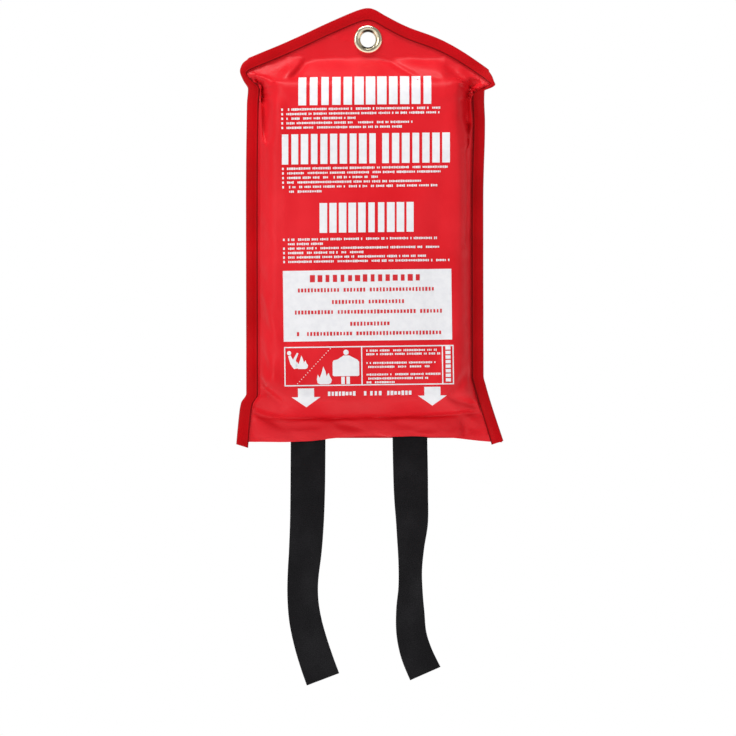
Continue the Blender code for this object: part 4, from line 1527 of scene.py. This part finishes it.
SMALL_PRINT = [  # the first line's height, the step between lines, each line's last x, and the numbered lines
    (-0.0508, 0.00325, (0.0536, 0.0517, -0.0077, 0.0325, 0.0261), (0, 1, 2, 3, 4)),
    (-0.0927, 0.00326, (0.0570, 0.0520, 0.0075, 0.0380, 0.0495, -0.0325), (0, 1, 2, 3, 4)),
    (-0.1430, 0.00314, (0.0512, -0.0321, 0.0503, -0.0034, 0.0407, 0.0574), (0, 2, 3, 4, 5)),
]
for number, (z, step, ends, numbered) in enumerate(SMALL_PRINT, 1):
    lines = [(-0.0558, last, z - step * i) for i, last in enumerate(ends)]
    sizes = {"Pitch": 0.00120, "Width": 0.00104, "Height": 0.00178}
    sizes |= {"Spare": 0.30, "Short": 0.34, "Gaps": 0.13, "Across": 3, "Cells": 3, "Seed": 10 + number}
    printed(ink_rows(f"small_print_{number}", white_rows, lines, sizes))
    bullets = [box_outline(-0.0598, -0.0586, z - step * i - 0.0008, z - step * i + 0.0008) for i in numbered]
    printed(ink_shapes(f"bullets_{number}", bullets, white_ink))

PANEL = (-0.0602, 0.0591, -0.2151, -0.1650)
printed(ink_shapes("white_panel", [box_outline(*PANEL)], white_ink))
PANEL_ROWS = [  # first x, last x, middle height, height of the blocks
    (-0.0393, 0.0406, -0.1708, 0.0052),
    (-0.0490, 0.0482, -0.1790, 0.0029),
    (-0.0250, 0.0246, -0.1875, 0.0029),
    (-0.0514, 0.0514, -0.1946, 0.0029),
    (-0.0146, 0.0140, -0.2031, 0.0029),
    (-0.0500, 0.0506, -0.2099, 0.0029),
]
for number, (x0, x1, z, tall) in enumerate(PANEL_ROWS, 1):
    pitch = 0.0053 if tall > 0.004 else 0.0023
    sizes = {"Pitch": pitch, "Width": pitch * 0.72, "Height": tall}
    sizes |= {"Spare": 0.34, "Short": 0.22, "Gaps": 0.08, "Across": 4, "Cells": 4, "Seed": 20 + number}
    printed(ink_rows(f"panel_row_{number}", red_rows, [(x0, x1, z)], sizes, INK_LIFT + 0.00008))

FRAME = (-0.0600, 0.0600, -0.2468, -0.2189)
RULE = 0.0008
x0, x1, z0, z1 = FRAME
rules = [
    box_outline(x0, x1, z1 - RULE, z1),
    box_outline(x0, x1, z0, z0 + RULE),
    *(box_outline(x, x + RULE, z0 + RULE, z1 - RULE) for x in (x0, -0.0055, 0.0516, x1 - RULE)),
]
printed(ink_shapes("picture_frame", rules, white_ink))


def round_outline(x, z, radius, count=16, stretch=1.0):
    angles = np.linspace(0, 2 * math.pi, count, endpoint=False)
    return [(x + radius * math.cos(a), z + radius * stretch * math.sin(a)) for a in angles]


def flame_outline(x, foot, width, height):
    """A plain flame with three tongues."""
    left = [(-0.28, 0), (-0.45, 0.07), (-0.50, 0.28), (-0.44, 0.54), (-0.30, 0.36)]
    left += [(-0.16, 0.68), (-0.06, 1.0)]
    right = [(0.08, 0.74), (0.15, 0.46), (0.29, 0.64), (0.37, 0.44), (0.50, 0.26), (0.45, 0.07), (0.28, 0)]
    return [(x + width * across, foot + height * up) for across, up in left + right]


casualty = [
    (-0.0572, -0.2255), (-0.0555, -0.2248), (-0.0538, -0.2279), (-0.0509, -0.2230),
    (-0.0499, -0.2235), (-0.0518, -0.2283), (-0.0511, -0.2310), (-0.0500, -0.2340),
    (-0.0532, -0.2346), (-0.0557, -0.2310),
]
held_blanket = [
    (-0.0180, -0.2254), (-0.0223, -0.2282), (-0.0250, -0.2288), (-0.0258, -0.2300),
    (-0.0258, -0.2394), (-0.0250, -0.2400), (-0.0078, -0.2400), (-0.0070, -0.2394),
    (-0.0070, -0.2300), (-0.0084, -0.2284), (-0.0141, -0.2254),
]
pictures = [
    round_outline(-0.0565, -0.2233, 0.0015),
    casualty,
    flame_outline(-0.0474, -0.2346, 0.0084, 0.0096),
    flame_outline(-0.0318, -0.2456, 0.0106, 0.0126),
    round_outline(-0.0162, -0.2232, 0.0019),
    held_blanket,
    box_outline(-0.0198, -0.0173, -0.2456, -0.2404),
    box_outline(-0.0161, -0.0137, -0.2456, -0.2404),
]
for t in np.linspace(0, 1, 17):
    x, z = -0.0508 + 0.0235 * t, -0.2450 + 0.0246 * t
    pictures.append(box_outline(x - 0.0003, x + 0.0003, z - 0.0003, z + 0.0003))
printed(ink_shapes("pictures", pictures, white_ink))
NOTES = [(0.0476, -0.2222), (0.0500, -0.2248), (0.0466, -0.2310), (0.0423, -0.2338)]
NOTES += [(0.0500, -0.2392), (0.0423, -0.2420), (0.0175, -0.2447)]
note_sizes = {"Pitch": 0.00118, "Width": 0.00100, "Height": 0.0016, "Spare": 0.3, "Short": 0.3, "Gaps": 0.13}
note_sizes |= {"Across": 3, "Cells": 3, "Seed": 31}
printed(ink_rows("picture_notes", white_rows, [(-0.0014, last, z) for last, z in NOTES], note_sizes))
ticks = [box_outline(0.0542, 0.0578, z, z + 0.0024) for z in np.linspace(-0.2448, -0.2222, 8)]
printed(ink_shapes("frame_ticks", ticks, white_ink))


def arrow_outline(x, top, tip, half_shaft, half_head, head):
    """A broad arrow that points down."""
    return [
        (x - half_shaft, top),
        (x - half_shaft, tip + head),
        (x - half_head, tip + head),
        (x, tip),
        (x + half_head, tip + head),
        (x + half_shaft, tip + head),
        (x + half_shaft, top),
    ]


LIP_WORDS = {"left": [(-0.0285, -0.0108), (-0.0030, -0.0008)], "right": [(0.0014, 0.0076), (0.0134, 0.0288)]}
for side, x in (("left", -0.0449), ("right", 0.0446)):
    arrow = arrow_outline(x, HINGE_Z - 0.0014, HINGE_Z - 0.0148, 0.0057, 0.0102, 0.0072)
    printed(ink_shapes(f"{side}_arrow", [arrow], white_ink), side)
    sizes = {"Pitch": 0.0024, "Width": 0.0020, "Height": 0.0032, "Spare": 0.25, "Short": 0.3, "Gaps": 0.0}
    sizes |= {"Across": 3, "Cells": 4, "Seed": 41}
    lines = [(*word, HINGE_Z - 0.0054) for word in LIP_WORDS[side]]
    printed(ink_rows(f"{side}_lip_row", white_rows, lines, sizes), side)
